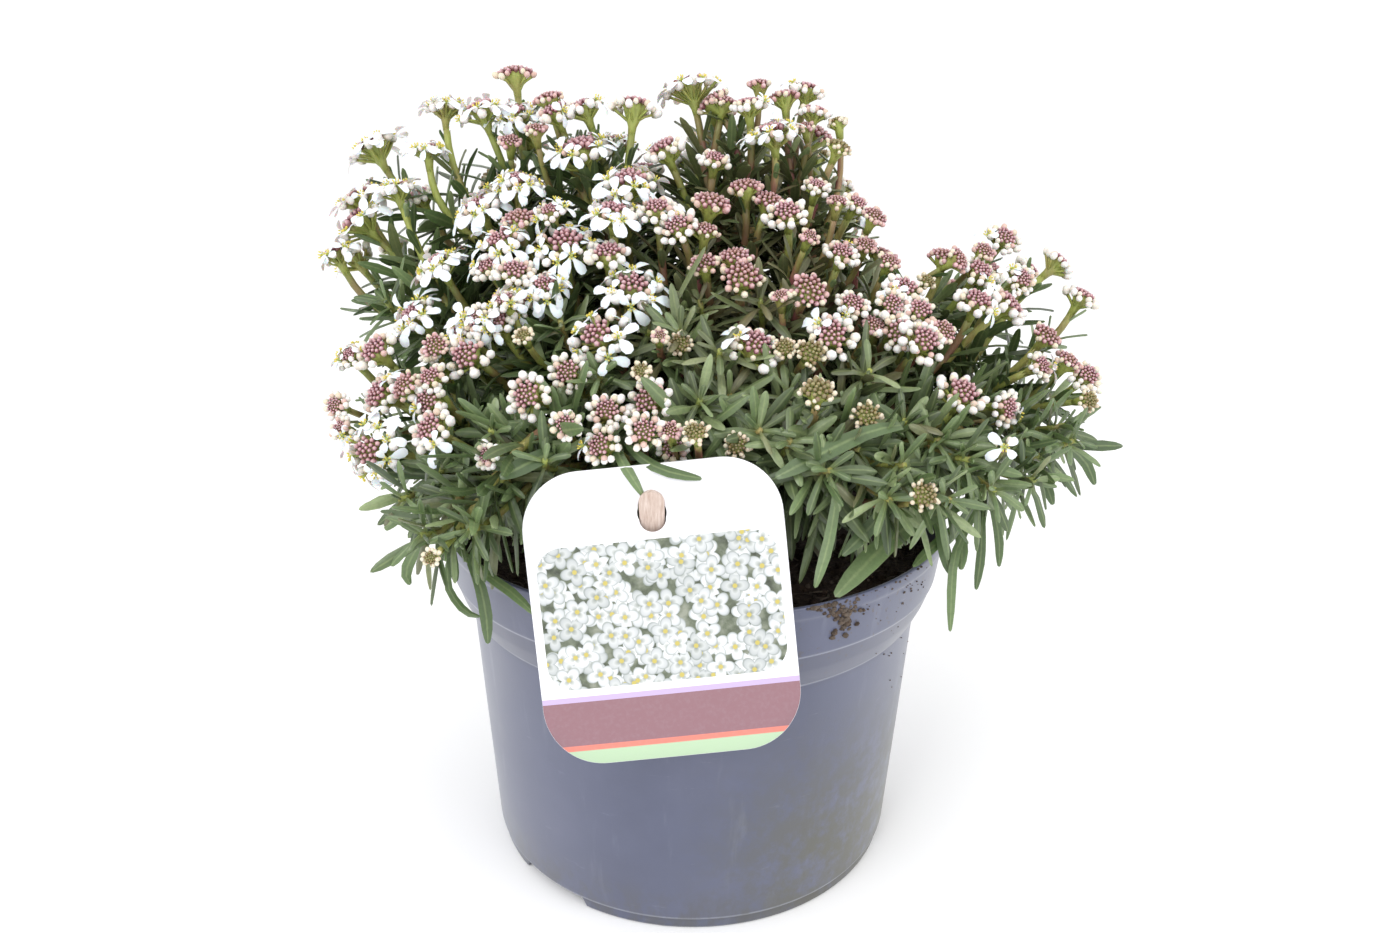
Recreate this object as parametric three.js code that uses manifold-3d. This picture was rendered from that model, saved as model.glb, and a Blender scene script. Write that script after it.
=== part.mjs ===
// Potted evergreen candytuft: a two-litre nursery pot of soil, a plant of eighteen shoots that
// branch from one woody crown, and a plain picture card on a wooden stick.
// Millimetres, +Z up. The origin is the centre of the pot's foot, and the card is at the front, -Y.

import * as THREE from 'three';
import { mergeVertices } from 'three/addons/utils/BufferGeometryUtils.js';
import Module from 'manifold-3d';

const wasm = await Module();
wasm.setup();

// Clearances between separate pieces
const GAP = 0.3;
const LEAF_GAP = 0.6;

// Pot
const POT_HEIGHT = 119;
const POT_WALL = 1.4;
const RIM_RADIUS = 85;
const BAND_LINE = { radius: 82.5, z: 101.7 };
const BAND_FOOT = { radius: 77.7, z: 89.5 };
const BODY_TOP = { radius: 76.8, z: 88.8 };
const BODY_FOOT = { radius: 71.8, z: 4.2 };
const FOOT_RING_RADIUS = 70.8;
const FOOT_RING_WALL = 2.6;
const FLOOR_UNDERSIDE_Z = 4;
const FLOOR_TOP_Z = 5.6;
const FOOT_PAD_RADIUS = 20;
const FOOT_PAD_SLOPE = 1;
const EDGE_ROUNDING = 0.8;
const RIM_EDGE_WIDTH = 0.9;
const POT_SEGMENTS = 40;
const NOTCH_ANGLES = [-130, -10, 110];
const NOTCH_ARC = 28;
const NOTCH_HEIGHT = 3.4;
const DRAIN_RADIUS = 4;
const DRAIN_CIRCLE_RADIUS = 58;
const DRAIN_SEGMENTS = 10;

// Soil and crown
const SOIL_EDGE_Z = 106;
const SOIL_SLOPE = { share: 0.75, z: 107.2 };
const SOIL_TOP = { share: 0.4, z: 109.5 };
const CROWN_CENTRE = new THREE.Vector3(0, 6, 104);
const CROWN_RADIUS = 17;
const CROWN_HEIGHT = 11;
const CROWN_SEGMENTS = 14;
// Shares of the crown's radius and height, from its foot up
const CROWN_PROFILE = [[1, 0.35], [0.85, 0.75], [0.45, 0.95]];
const CROWN_FOOT_SHARE = 0.7;
const BRANCH_ROOT_SHARE = 0.7;

// Picture card and its stick
const CARD_WIDTH = 70;
const CARD_HEIGHT = 80;
const CARD_THICKNESS = 0.8;
const CARD_CORNER = 16;
const CARD_CURVE_SEGMENTS = 6;
const CARD_CENTRE_X = -8;
const CARD_CENTRE_Z = 120.5;
const CARD_LEAN = 15;
const CARD_TURN = 6.5;
const SLOT_WIDTH = 7.2;
const SLOT_HEIGHT = 10.4;
const SLOT_CENTRE_Y = 27;
const STICK_WIDTH = 5.8;
const STICK_THICKNESS = 1.6;
const STICK_FOOT = new THREE.Vector3(-8.5, -68, 70);
const STICK_PAST_SLOT = 6.5;
const STICK_CURVE_SEGMENTS = 5;

// Shoots: where the middle of each shoot's flower heads is, front row first
const SHOOT_TOPS = [
  [-92, -42, 164], [-48, -68, 178], [-5, -76, 178], [38, -64, 182], [80, -42, 182], [118, -6, 178],
  [-106, 4, 206], [-57, -24, 208], [-12, -32, 216], [33, -22, 214], [80, 10, 208],
  [-82, 40, 236], [-40, 28, 252], [4, 26, 254], [44, 34, 248],
  [-46, 80, 206], [4, 82, 214], [56, 72, 204],
].map(([x, y, z]) => new THREE.Vector3(x, y, z));
const CROWN_SPREAD = 0.14;
const BRANCH_RADIUS = 1.7;
const BRANCH_SIDES = 5;
const BRANCH_STEPS = 6;
const BRANCH_SAG = 9;
const LEAFY_FROM = 0.45;
const BRANCH_TO = 0.8;

// Leaves: narrow blades, widest near the round tip, on a sleeve of leaf bases
const LEAF_LENGTH = 25;
const LEAF_WIDTH = 5.6;
const LEAF_THICKNESS = 1;
const LEAF_BASE_WIDTH = 2;
const LEAF_WIDEST_AT = 18;
const LEAF_NECK = 7.5;
const LEAVES_PER_SHOOT = 7;
const SLEEVE_INNER = 2.35;
const SLEEVE_OUTER = 3.35;
const SLEEVE_SIDES = 8;
const LEAF_ROOT = 2.65;
const SLEEVE_START = 9;
const SLEEVE_SHORT_OF_END = 1;
const LOWEST_LIFT = -15;
const HIGHEST_LIFT = 50;
const SLEEVE_FACE_ANGLE = (2 * Math.PI) / SLEEVE_SIDES;
const LEAF_TURN_FACES = 3;

// Flower heads: low domes on thin stalks
const HEAD_RADIUS = 7;
const HEAD_RISE = 4.6;
const HEAD_DROP = 2.2;
const RING_RADIUS = 21;
const RING_COUNT = 5;
const RING_FALL = 4;
const RING_TRIES = [[0, 1], [0.2, 1], [-0.2, 1], [0, 0.82], [0.3, 0.82], [-0.3, 0.82]];
const COLLAR_LENGTH = 3;
const HEAD_SIDES = 5;
const STALK_RADIUS = 1;
const STALK_SPREAD = 0.6;
const CLUSTER_TURN = 0.9;

const COLOURS = {
  pot: 0x76788f,
  soil: 0x2f241d,
  bark: 0x6b5a45,
  stem: 0x7d8a52,
  leaf: 0x4f6e46,
  flower: 0xd9c6c8,
  card: 0xf4f4f6,
  stick: 0xdcc8b4,
};

const UP = new THREE.Vector3(0, 0, 1);

// Solids

function solidOf(geometry) {
  const loose = geometry.index ? geometry.toNonIndexed() : geometry;
  const bare = new THREE.BufferGeometry().setAttribute('position', loose.getAttribute('position'));
  const merged = mergeVertices(bare, 1e-3);
  const corners = merged.index.array;
  const triangles = [];
  for (let i = 0; i < corners.length; i += 3) {
    const [a, b, c] = corners.slice(i, i + 3);
    if (a !== b && b !== c && c !== a) triangles.push(a, b, c);
  }
  return new wasm.Manifold(new wasm.Mesh({
    numProp: 3,
    vertProperties: merged.getAttribute('position').array,
    triVerts: new Uint32Array(triangles),
  }));
}

function geometryOf(solid) {
  const mesh = solid.getMesh();
  return new THREE.BufferGeometry()
    .setAttribute('position', new THREE.BufferAttribute(mesh.vertProperties, 3))
    .setIndex(new THREE.BufferAttribute(mesh.triVerts, 1));
}

function joined(solids) {
  return solids.reduce((whole, solid) => whole.add(solid));
}

function largestBody(solid) {
  const bodies = solid.decompose();
  return bodies.reduce((best, body) => (body.volume() > best.volume() ? body : best));
}

function lathe(profile, segments) {
  const points = profile.map(([radius, z]) => new THREE.Vector2(radius, z));
  return new THREE.LatheGeometry(points, segments).rotateX(Math.PI / 2);
}

function polygon(radius, sides) {
  const corners = Array.from({ length: sides }, (_, i) => {
    const angle = (2 * Math.PI * i) / sides;
    return new THREE.Vector2(radius * Math.cos(angle), radius * Math.sin(angle));
  });
  return new THREE.Shape(corners);
}

function tube(path, section, steps) {
  return new THREE.ExtrudeGeometry(section, { steps, bevelEnabled: false, extrudePath: path });
}

// A frame whose Z runs along a direction and whose X points out at an angle round it
function frameAlong(direction, angle) {
  const turn = new THREE.Quaternion().setFromUnitVectors(UP, direction);
  const around = new THREE.Quaternion().setFromAxisAngle(direction, angle);
  return around.multiply(turn);
}

// Room: each piece is kept clear of the others by thick lines along its parts

const occupied = [];

function stretch(owner, start, end, radius) {
  return { owner, line: new THREE.Line3(start.clone(), end.clone()), radius };
}

function stretchesAlong(owner, path, radius, steps) {
  const points = path.getSpacedPoints(steps);
  return points.slice(1).map((point, i) => stretch(owner, points[i], point, radius));
}

function clearOfPot(point, radius) {
  const out = Math.hypot(point.x, point.y);
  if (point.z > POT_HEIGHT + radius) return true;
  if (out > RIM_RADIUS + radius) return true;
  const room = potOuterRadius(point.z) - POT_WALL - radius;
  return point.z > SOIL_TOP.z + radius && out < room;
}

function clearOfCard(point, radius) {
  const local = point.clone().applyMatrix4(cardFrame.clone().invert());
  const half = new THREE.Vector3(CARD_WIDTH, CARD_HEIGHT, CARD_THICKNESS).multiplyScalar(0.5);
  return ['x', 'y', 'z'].some((axis) => Math.abs(local[axis]) > half[axis] + radius);
}

function hasRoom(stretches, ignoredOwners = []) {
  return stretches.every(({ line, radius }) => {
    const margin = radius + LEAF_GAP;
    const points = [line.start, line.at(0.5, new THREE.Vector3()), line.end];
    const clear = (point) => clearOfPot(point, margin) && clearOfCard(point, margin);
    if (!points.every(clear)) return false;
    return occupied.every((other) => {
      if (ignoredOwners.includes(other.owner)) return true;
      const least = margin + other.radius;
      return line.distanceSqToLine3(other.line) > least * least;
    });
  });
}

// Pot

function potOuterRadius(z) {
  const rim = { radius: RIM_RADIUS, z: POT_HEIGHT };
  const [low, high] = z > BAND_FOOT.z ? [BAND_FOOT, rim] : [BODY_FOOT, BODY_TOP];
  return THREE.MathUtils.mapLinear(z, low.z, high.z, low.radius, high.radius);
}

function potInnerProfile(clearance) {
  const inside = ({ radius, z }) => [radius - POT_WALL - clearance, z];
  const floorRadius = BODY_FOOT.radius - POT_WALL - clearance;
  return [[floorRadius, FLOOR_TOP_Z + clearance], inside(BODY_TOP), inside(BAND_FOOT), inside(BAND_LINE)];
}

function makePot() {
  const ringInner = FOOT_RING_RADIUS - FOOT_RING_WALL;
  const rimInner = RIM_RADIUS - POT_WALL;
  const profile = [
    [0, 0],
    [FOOT_PAD_RADIUS, 0],
    [FOOT_PAD_RADIUS + FOOT_PAD_SLOPE, FLOOR_UNDERSIDE_Z],
    [ringInner, FLOOR_UNDERSIDE_Z],
    [ringInner, 0],
    [FOOT_RING_RADIUS - EDGE_ROUNDING, 0],
    [FOOT_RING_RADIUS, EDGE_ROUNDING],
    [FOOT_RING_RADIUS, BODY_FOOT.z - EDGE_ROUNDING],
    [BODY_FOOT.radius, BODY_FOOT.z],
    [BODY_TOP.radius, BODY_TOP.z],
    [BAND_FOOT.radius, BAND_FOOT.z],
    [BAND_LINE.radius, BAND_LINE.z],
    [RIM_RADIUS, POT_HEIGHT - EDGE_ROUNDING],
    [rimInner + RIM_EDGE_WIDTH, POT_HEIGHT],
    [rimInner, POT_HEIGHT],
    ...potInnerProfile(0).reverse(),
    [0, FLOOR_TOP_Z],
  ];
  const drainTop = 2 * FLOOR_TOP_Z;
  const drainProfile = [[0, 0], [DRAIN_RADIUS, 0], [DRAIN_RADIUS, drainTop], [0, drainTop]];
  const notchLength = 3 * FOOT_RING_WALL;
  let pot = solidOf(lathe(profile, POT_SEGMENTS));
  for (const degrees of NOTCH_ANGLES) {
    const angle = THREE.MathUtils.degToRad(degrees);
    const notch = new THREE.BoxGeometry(notchLength, NOTCH_ARC, 2 * NOTCH_HEIGHT)
      .translate(FOOT_RING_RADIUS - FOOT_RING_WALL, 0, 0)
      .rotateZ(angle);
    const drain = lathe(drainProfile, DRAIN_SEGMENTS)
      .translate(DRAIN_CIRCLE_RADIUS, 0, 0)
      .rotateZ(angle);
    pot = pot.subtract(solidOf(notch)).subtract(solidOf(drain));
  }
  return pot;
}

// Soil: it fills the pot to a little below the rim and rises to the crown, which sits in it
function makeSoil() {
  const wall = potInnerProfile(GAP);
  const edgeRadius = potOuterRadius(SOIL_EDGE_Z) - POT_WALL - GAP;
  const bandLine = wall[wall.length - 1];
  const profile = [
    [0, FLOOR_TOP_Z + GAP],
    ...wall,
    [Math.max(bandLine[0], edgeRadius - GAP), SOIL_EDGE_Z],
    [SOIL_SLOPE.share * edgeRadius, SOIL_SLOPE.z],
    [SOIL_TOP.share * edgeRadius, SOIL_TOP.z],
    [0, SOIL_TOP.z],
  ];
  const soil = solidOf(lathe(profile, POT_SEGMENTS));
  return soil.subtract(crownSolid(GAP)).subtract(stickSolid(GAP));
}

// Crown: the low woody foot that all the branches grow from
function crownSolid(growth) {
  const radius = CROWN_RADIUS + growth;
  const height = CROWN_HEIGHT + growth;
  const profile = [
    [0, -growth],
    [CROWN_FOOT_SHARE * radius, -growth],
    ...CROWN_PROFILE.map(([across, up]) => [across * radius, up * height]),
    [0, height],
  ];
  return solidOf(lathe(profile, CROWN_SEGMENTS).translate(...CROWN_CENTRE.toArray()));
}

// Picture card: a rounded card with a slot near its top edge, leaning on the rim
function cardPlacement() {
  const lean = THREE.MathUtils.degToRad(CARD_LEAN);
  const turn = THREE.MathUtils.degToRad(CARD_TURN);
  const normal = new THREE.Vector3(0, -Math.cos(lean), Math.sin(lean));
  const rimFront = new THREE.Vector3(0, -RIM_RADIUS, POT_HEIGHT);
  const reach = normal.dot(rimFront) + GAP + CARD_THICKNESS / 2;
  const centreY = (reach - normal.z * CARD_CENTRE_Z) / normal.y;
  const rotation = new THREE.Euler(Math.PI / 2 - lean, 0, turn);
  return new THREE.Matrix4()
    .makeRotationFromEuler(rotation)
    .setPosition(CARD_CENTRE_X, centreY, CARD_CENTRE_Z);
}

const cardFrame = cardPlacement();

function roundedOutline(shape, width, height, corner, centreY) {
  const x = width / 2 - corner;
  const y = height / 2 - corner;
  shape.absarc(x, centreY + y, corner, 0, Math.PI / 2);
  shape.absarc(-x, centreY + y, corner, Math.PI / 2, Math.PI);
  shape.absarc(-x, centreY - y, corner, Math.PI, 1.5 * Math.PI);
  shape.absarc(x, centreY - y, corner, 1.5 * Math.PI, 2 * Math.PI);
  return shape;
}

function makeCard() {
  const outline = roundedOutline(new THREE.Shape(), CARD_WIDTH, CARD_HEIGHT, CARD_CORNER, 0);
  const slotCorner = SLOT_WIDTH / 2;
  const slot = roundedOutline(new THREE.Path(), SLOT_WIDTH, SLOT_HEIGHT, slotCorner, SLOT_CENTRE_Y);
  outline.holes.push(slot);
  const options = {
    depth: CARD_THICKNESS,
    bevelEnabled: false,
    curveSegments: CARD_CURVE_SEGMENTS,
  };
  const geometry = new THREE.ExtrudeGeometry(outline, options);
  return solidOf(geometry.translate(0, 0, -CARD_THICKNESS / 2).applyMatrix4(cardFrame));
}

// Stick: flat, with a round top, from the soil through the card's slot
const slotCentre = new THREE.Vector3(0, SLOT_CENTRE_Y, 0).applyMatrix4(cardFrame);
const stickDirection = slotCentre.clone().sub(STICK_FOOT).normalize();
const stickTop = slotCentre.clone().addScaledVector(stickDirection, STICK_PAST_SLOT);

function stickSolid(growth) {
  const half = STICK_WIDTH / 2 + growth;
  const length = STICK_FOOT.distanceTo(stickTop);
  const shape = new THREE.Shape()
    .moveTo(-half, -growth)
    .lineTo(half, -growth)
    .lineTo(half, length - half)
    .absarc(0, length - half, half, 0, Math.PI);
  const depth = STICK_THICKNESS + 2 * growth;
  const options = { depth, bevelEnabled: false, curveSegments: STICK_CURVE_SEGMENTS };
  const geometry = new THREE.ExtrudeGeometry(shape, options);
  const x = new THREE.Vector3(1, 0, 0).addScaledVector(stickDirection, -stickDirection.x);
  x.normalize();
  const z = new THREE.Vector3().crossVectors(x, stickDirection);
  const frame = new THREE.Matrix4().makeBasis(x, stickDirection, z).setPosition(STICK_FOOT);
  return solidOf(geometry.translate(0, 0, -depth / 2).applyMatrix4(frame));
}

// Shoots: each one is a branch, a sleeve of leaves round its upper half, and a cluster of heads

function shootPath(top) {
  const start = CROWN_CENTRE.clone().lerp(top, CROWN_SPREAD);
  start.z = CROWN_CENTRE.z + BRANCH_ROOT_SHARE * CROWN_HEIGHT;
  const knee = start.clone().lerp(top, LEAFY_FROM).addScaledVector(UP, -BRANCH_SAG / 2);
  const end = start.clone().lerp(top, BRANCH_TO);
  const direction = end.clone().sub(knee).normalize();
  const bend = knee.clone().addScaledVector(direction, -0.5 * knee.distanceTo(start));
  return { start, bend, knee, end, direction };
}

function makeBranch(owner, { start, bend, knee, end }) {
  const path = new THREE.CurvePath();
  path.add(new THREE.QuadraticBezierCurve3(start, bend, knee));
  path.add(new THREE.LineCurve3(knee, end));
  occupied.push(...stretchesAlong(owner, path, BRANCH_RADIUS, BRANCH_STEPS));
  const branch = solidOf(tube(path, polygon(BRANCH_RADIUS, BRANCH_SIDES), BRANCH_STEPS));
  return largestBody(branch.subtract(crownSolid(GAP)));
}

// A head on its straight stalk, turned as one profile
function headSolid(foot, centre) {
  const axis = centre.clone().sub(foot);
  const length = axis.length();
  const profile = [
    [0, 0],
    [STALK_RADIUS, 0],
    [STALK_RADIUS, length - HEAD_DROP],
    [HEAD_RADIUS, length],
    [0, length + HEAD_RISE],
  ];
  const geometry = lathe(profile, HEAD_SIDES)
    .applyQuaternion(frameAlong(axis.normalize(), 0))
    .translate(foot.x, foot.y, foot.z);
  return solidOf(geometry);
}

function makeFlowerHeads(owner, { end, direction }, top, turn) {
  const foot = end.clone().addScaledVector(direction, GAP);
  const collarTop = foot.clone().addScaledVector(direction, COLLAR_LENGTH);
  const collarSection = polygon(BRANCH_RADIUS, BRANCH_SIDES);
  const solids = [solidOf(tube(new THREE.LineCurve3(foot, collarTop), collarSection, 1))];
  const stalksFrom = foot.clone().lerp(collarTop, 0.5);
  const place = (centre, outward) => {
    const stalkFoot = stalksFrom.clone().addScaledVector(outward, STALK_SPREAD);
    const crownOfHead = centre.clone().addScaledVector(direction, HEAD_RISE / 2);
    const stretches = [
      stretch(owner, stalkFoot, centre, STALK_RADIUS),
      stretch(owner, centre, crownOfHead, HEAD_RADIUS),
    ];
    if (!hasRoom(stretches, [owner, owner.replace('flower_heads', 'branch')])) return false;
    occupied.push(...stretches);
    solids.push(headSolid(stalkFoot, centre));
    return true;
  };
  place(top.clone(), new THREE.Vector3());
  const across = frameAlong(direction, 0);
  for (let i = 0; i < RING_COUNT; i += 1) {
    for (const [nudge, reach] of RING_TRIES) {
      const angle = turn + nudge + (2 * Math.PI * i) / RING_COUNT;
      const outward = new THREE.Vector3(1, 0, 0).applyAxisAngle(UP, angle).applyQuaternion(across);
      const centre = top.clone()
        .addScaledVector(outward, RING_RADIUS * reach)
        .addScaledVector(direction, -RING_FALL);
      if (place(centre, outward)) break;
    }
  }
  return joined(solids);
}

function leafBlade() {
  const outline = new THREE.Shape()
    .moveTo(0, -LEAF_BASE_WIDTH / 2)
    .lineTo(LEAF_WIDEST_AT, -LEAF_WIDTH / 2)
    .lineTo(LEAF_LENGTH, 0)
    .lineTo(LEAF_WIDEST_AT, LEAF_WIDTH / 2)
    .lineTo(0, LEAF_BASE_WIDTH / 2);
  const options = { depth: LEAF_THICKNESS, bevelEnabled: false };
  return new THREE.ExtrudeGeometry(outline, options).translate(0, 0, -LEAF_THICKNESS / 2);
}

// The sleeve stands along Z here, and the shoot's frame then puts it on its branch
function makeLeaves(owner, { knee, end, direction }) {
  const position = knee.clone().addScaledVector(direction, SLEEVE_START);
  const quaternion = frameAlong(direction, 0);
  const length = position.distanceTo(end) - SLEEVE_SHORT_OF_END;
  const ring = [
    [SLEEVE_INNER, 0],
    [SLEEVE_OUTER, 0],
    [SLEEVE_OUTER, length],
    [SLEEVE_INNER, length],
    [SLEEVE_INNER, 0],
  ];
  const solids = [solidOf(lathe(ring, SLEEVE_SIDES))];
  const toWorld = (point) => point.clone().applyQuaternion(quaternion).add(position);
  for (let i = 0; i < LEAVES_PER_SHOOT; i += 1) {
    const height = (i + 0.5) / LEAVES_PER_SHOOT;
    const lift = THREE.MathUtils.degToRad(THREE.MathUtils.lerp(LOWEST_LIFT, HIGHEST_LIFT, height));
    for (const nudge of [0, 1, -1]) {
      const angle = (i * LEAF_TURN_FACES + nudge + 0.5) * SLEEVE_FACE_ANGLE;
      const blade = leafBlade().rotateY(-lift).rotateZ(angle);
      const along = new THREE.Vector3(Math.cos(lift), 0, Math.sin(lift)).applyAxisAngle(UP, angle);
      const root = along.clone().multiplyScalar(LEAF_ROOT).setZ(height * length);
      const neck = root.clone().addScaledVector(along, LEAF_NECK);
      const tip = root.clone().addScaledVector(along, LEAF_LENGTH);
      const stretches = [
        stretch(owner, toWorld(root), toWorld(neck), LEAF_BASE_WIDTH),
        stretch(owner, toWorld(neck), toWorld(tip), LEAF_WIDTH / 2),
      ];
      if (!hasRoom(stretches, [owner, owner.replace('leaves', 'branch')])) continue;
      occupied.push(...stretches);
      solids.push(solidOf(blade.translate(root.x, root.y, root.z)));
      break;
    }
  }
  return { solid: joined(solids), position, quaternion };
}

// Assembly

const materials = Object.fromEntries(
  Object.entries(COLOURS).map(([name, color]) => {
    const roughness = name === 'pot' ? 0.45 : 0.8;
    return [name, new THREE.MeshStandardMaterial({ color, roughness, metalness: 0 })];
  }),
);

const candytuft = new THREE.Group();

function addPiece(name, solid, material) {
  const mesh = new THREE.Mesh(geometryOf(solid), materials[material]);
  mesh.name = name;
  candytuft.add(mesh);
  return mesh;
}

addPiece('pot', makePot(), 'pot');
addPiece('soil', makeSoil(), 'soil');
addPiece('woody_crown', crownSolid(0), 'bark');
addPiece('picture_card', makeCard(), 'card');
addPiece('card_stick', stickSolid(0), 'stick');
occupied.push(stretch('card_stick', STICK_FOOT, stickTop, STICK_WIDTH / 2));

const shoots = SHOOT_TOPS.map((top, i) => {
  const number = String(i + 1).padStart(2, '0');
  return { number, top, path: shootPath(top), turn: i * CLUSTER_TURN };
});
for (const { number, path } of shoots) {
  addPiece(`branch_${number}`, makeBranch(`branch_${number}`, path), 'stem');
}
for (const { number, path, top, turn } of shoots) {
  const owner = `flower_heads_${number}`;
  addPiece(owner, makeFlowerHeads(owner, path, top, turn), 'flower');
}
for (const { number, path } of shoots) {
  const owner = `leaves_${number}`;
  const { solid, position, quaternion } = makeLeaves(owner, path);
  const mesh = addPiece(owner, solid, 'leaf');
  mesh.position.copy(position);
  mesh.quaternion.copy(quaternion);
}

export default candytuft;
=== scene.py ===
"""Looks of a potted evergreen candytuft: pot, soil, card, stick, and a plant of some two hundred stems.

Sizes are in millimetres and are scaled to metres where a mesh is made. The photograph's pixel
coordinates are in its own 1400 by 933 frame.
"""

import math

import bpy
import numpy as np
from mathutils import Matrix, Vector, noise


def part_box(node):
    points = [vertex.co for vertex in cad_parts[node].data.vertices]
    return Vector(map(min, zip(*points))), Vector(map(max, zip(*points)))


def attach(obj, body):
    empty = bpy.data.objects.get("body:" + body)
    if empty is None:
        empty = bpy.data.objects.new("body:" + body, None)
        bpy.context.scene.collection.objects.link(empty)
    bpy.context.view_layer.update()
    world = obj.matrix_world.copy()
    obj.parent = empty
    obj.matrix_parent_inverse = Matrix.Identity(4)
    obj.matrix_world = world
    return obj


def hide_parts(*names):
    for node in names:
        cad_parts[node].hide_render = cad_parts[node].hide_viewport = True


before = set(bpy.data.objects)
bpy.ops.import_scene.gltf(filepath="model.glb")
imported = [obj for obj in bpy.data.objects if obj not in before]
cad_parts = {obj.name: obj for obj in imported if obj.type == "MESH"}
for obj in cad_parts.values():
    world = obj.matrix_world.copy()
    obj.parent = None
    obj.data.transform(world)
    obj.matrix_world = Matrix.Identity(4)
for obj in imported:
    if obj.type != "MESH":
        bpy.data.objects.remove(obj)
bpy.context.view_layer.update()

MM = 0.001
SEED = 20417
TURN = 2 * math.pi
GOLDEN_ANGLE = math.pi * (3 - math.sqrt(5))
UP = np.array([0.0, 0.0, 1.0])
FLAT = np.array([1.0, 1.0, 0.0])

# Camera, from the photograph's perspective
PHOTO_WIDTH = 1400
PHOTO_HEIGHT = 933
SENSOR_WIDTH = 36.0
LENS = 26.92
CAMERA_PLACE = np.array([1.6, -337.5, 251.5])
CAMERA_DOWN = math.radians(19.54)
CAMERA_ROLL = math.radians(0.705)
FOCAL_PIXELS = LENS / SENSOR_WIDTH * PHOTO_WIDTH

# Pot; a pair is a radius and a height on its outside
RIM_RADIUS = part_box("pot")[1].x / MM
POT_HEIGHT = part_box("pot")[1].z / MM
POT_WALL = 1.4
POT_FILLET = 0.7
RIM_BAND_TOP = (84.4, 114.5)
RIM_BAND_FOOT = (82.9, 102.3)
BAND_LINE = (82.5, 101.7)
BAND_MIDDLE = (80.6, 95.8)
BAND_FOOT = (77.7, 89.5)
BODY_TOP = (76.8, 88.8)
BODY_MIDDLE = (74.3, 46.0)
BODY_FOOT = (71.8, 4.2)
FOOT_RING_RADIUS = 70.8
FOOT_RING_WALL = 2.6
FLOOR_UNDERSIDE = 4.0
FLOOR_TOP = 5.6
FOOT_PAD_RADIUS = 20.0
POT_SEGMENTS = 240
OUT_OF_ROUND = 0.0012
NOTCH_ANGLES = (-130, -10, 110)
NOTCH_ARC = 28.0
NOTCH_HEIGHT = 3.4
NOTCH_CUT_IN = 1.5
POT_HARD_EDGE = 40
DRAIN_RADIUS = 4.0
DRAIN_CIRCLE_RADIUS = 58.0

# Soil and crown
SOIL_EDGE = 106.0
SOIL_CENTRE = 109.5
SOIL_GAP = 0.4
SOIL_EDGE_GAP = 0.25
SOIL_SIDES = 160
SOIL_RINGS = 62
CROWN_PLACE = np.array([0.0, 6.0, 104.0])
CROWN_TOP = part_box("woody_crown")[1].z / MM

# Card and stick
CARD_WIDTH = 70.0
CARD_HEIGHT = 80.0
CARD_THICKNESS = 0.8
CARD_CORNER = 16.0
CARD_LEAN = math.radians(15)
CARD_TURN = math.radians(6.5)
SLOT_WIDTH = 7.2
SLOT_HEIGHT = 10.4
SLOT_CENTRE = 27.0
STICK_WIDTH = 6.9
STICK_THICKNESS = 1.6
STICK_FOOT = np.array([-8.5, -68.0, 70.0])
STICK_PAST_SLOT = 6.5

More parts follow.
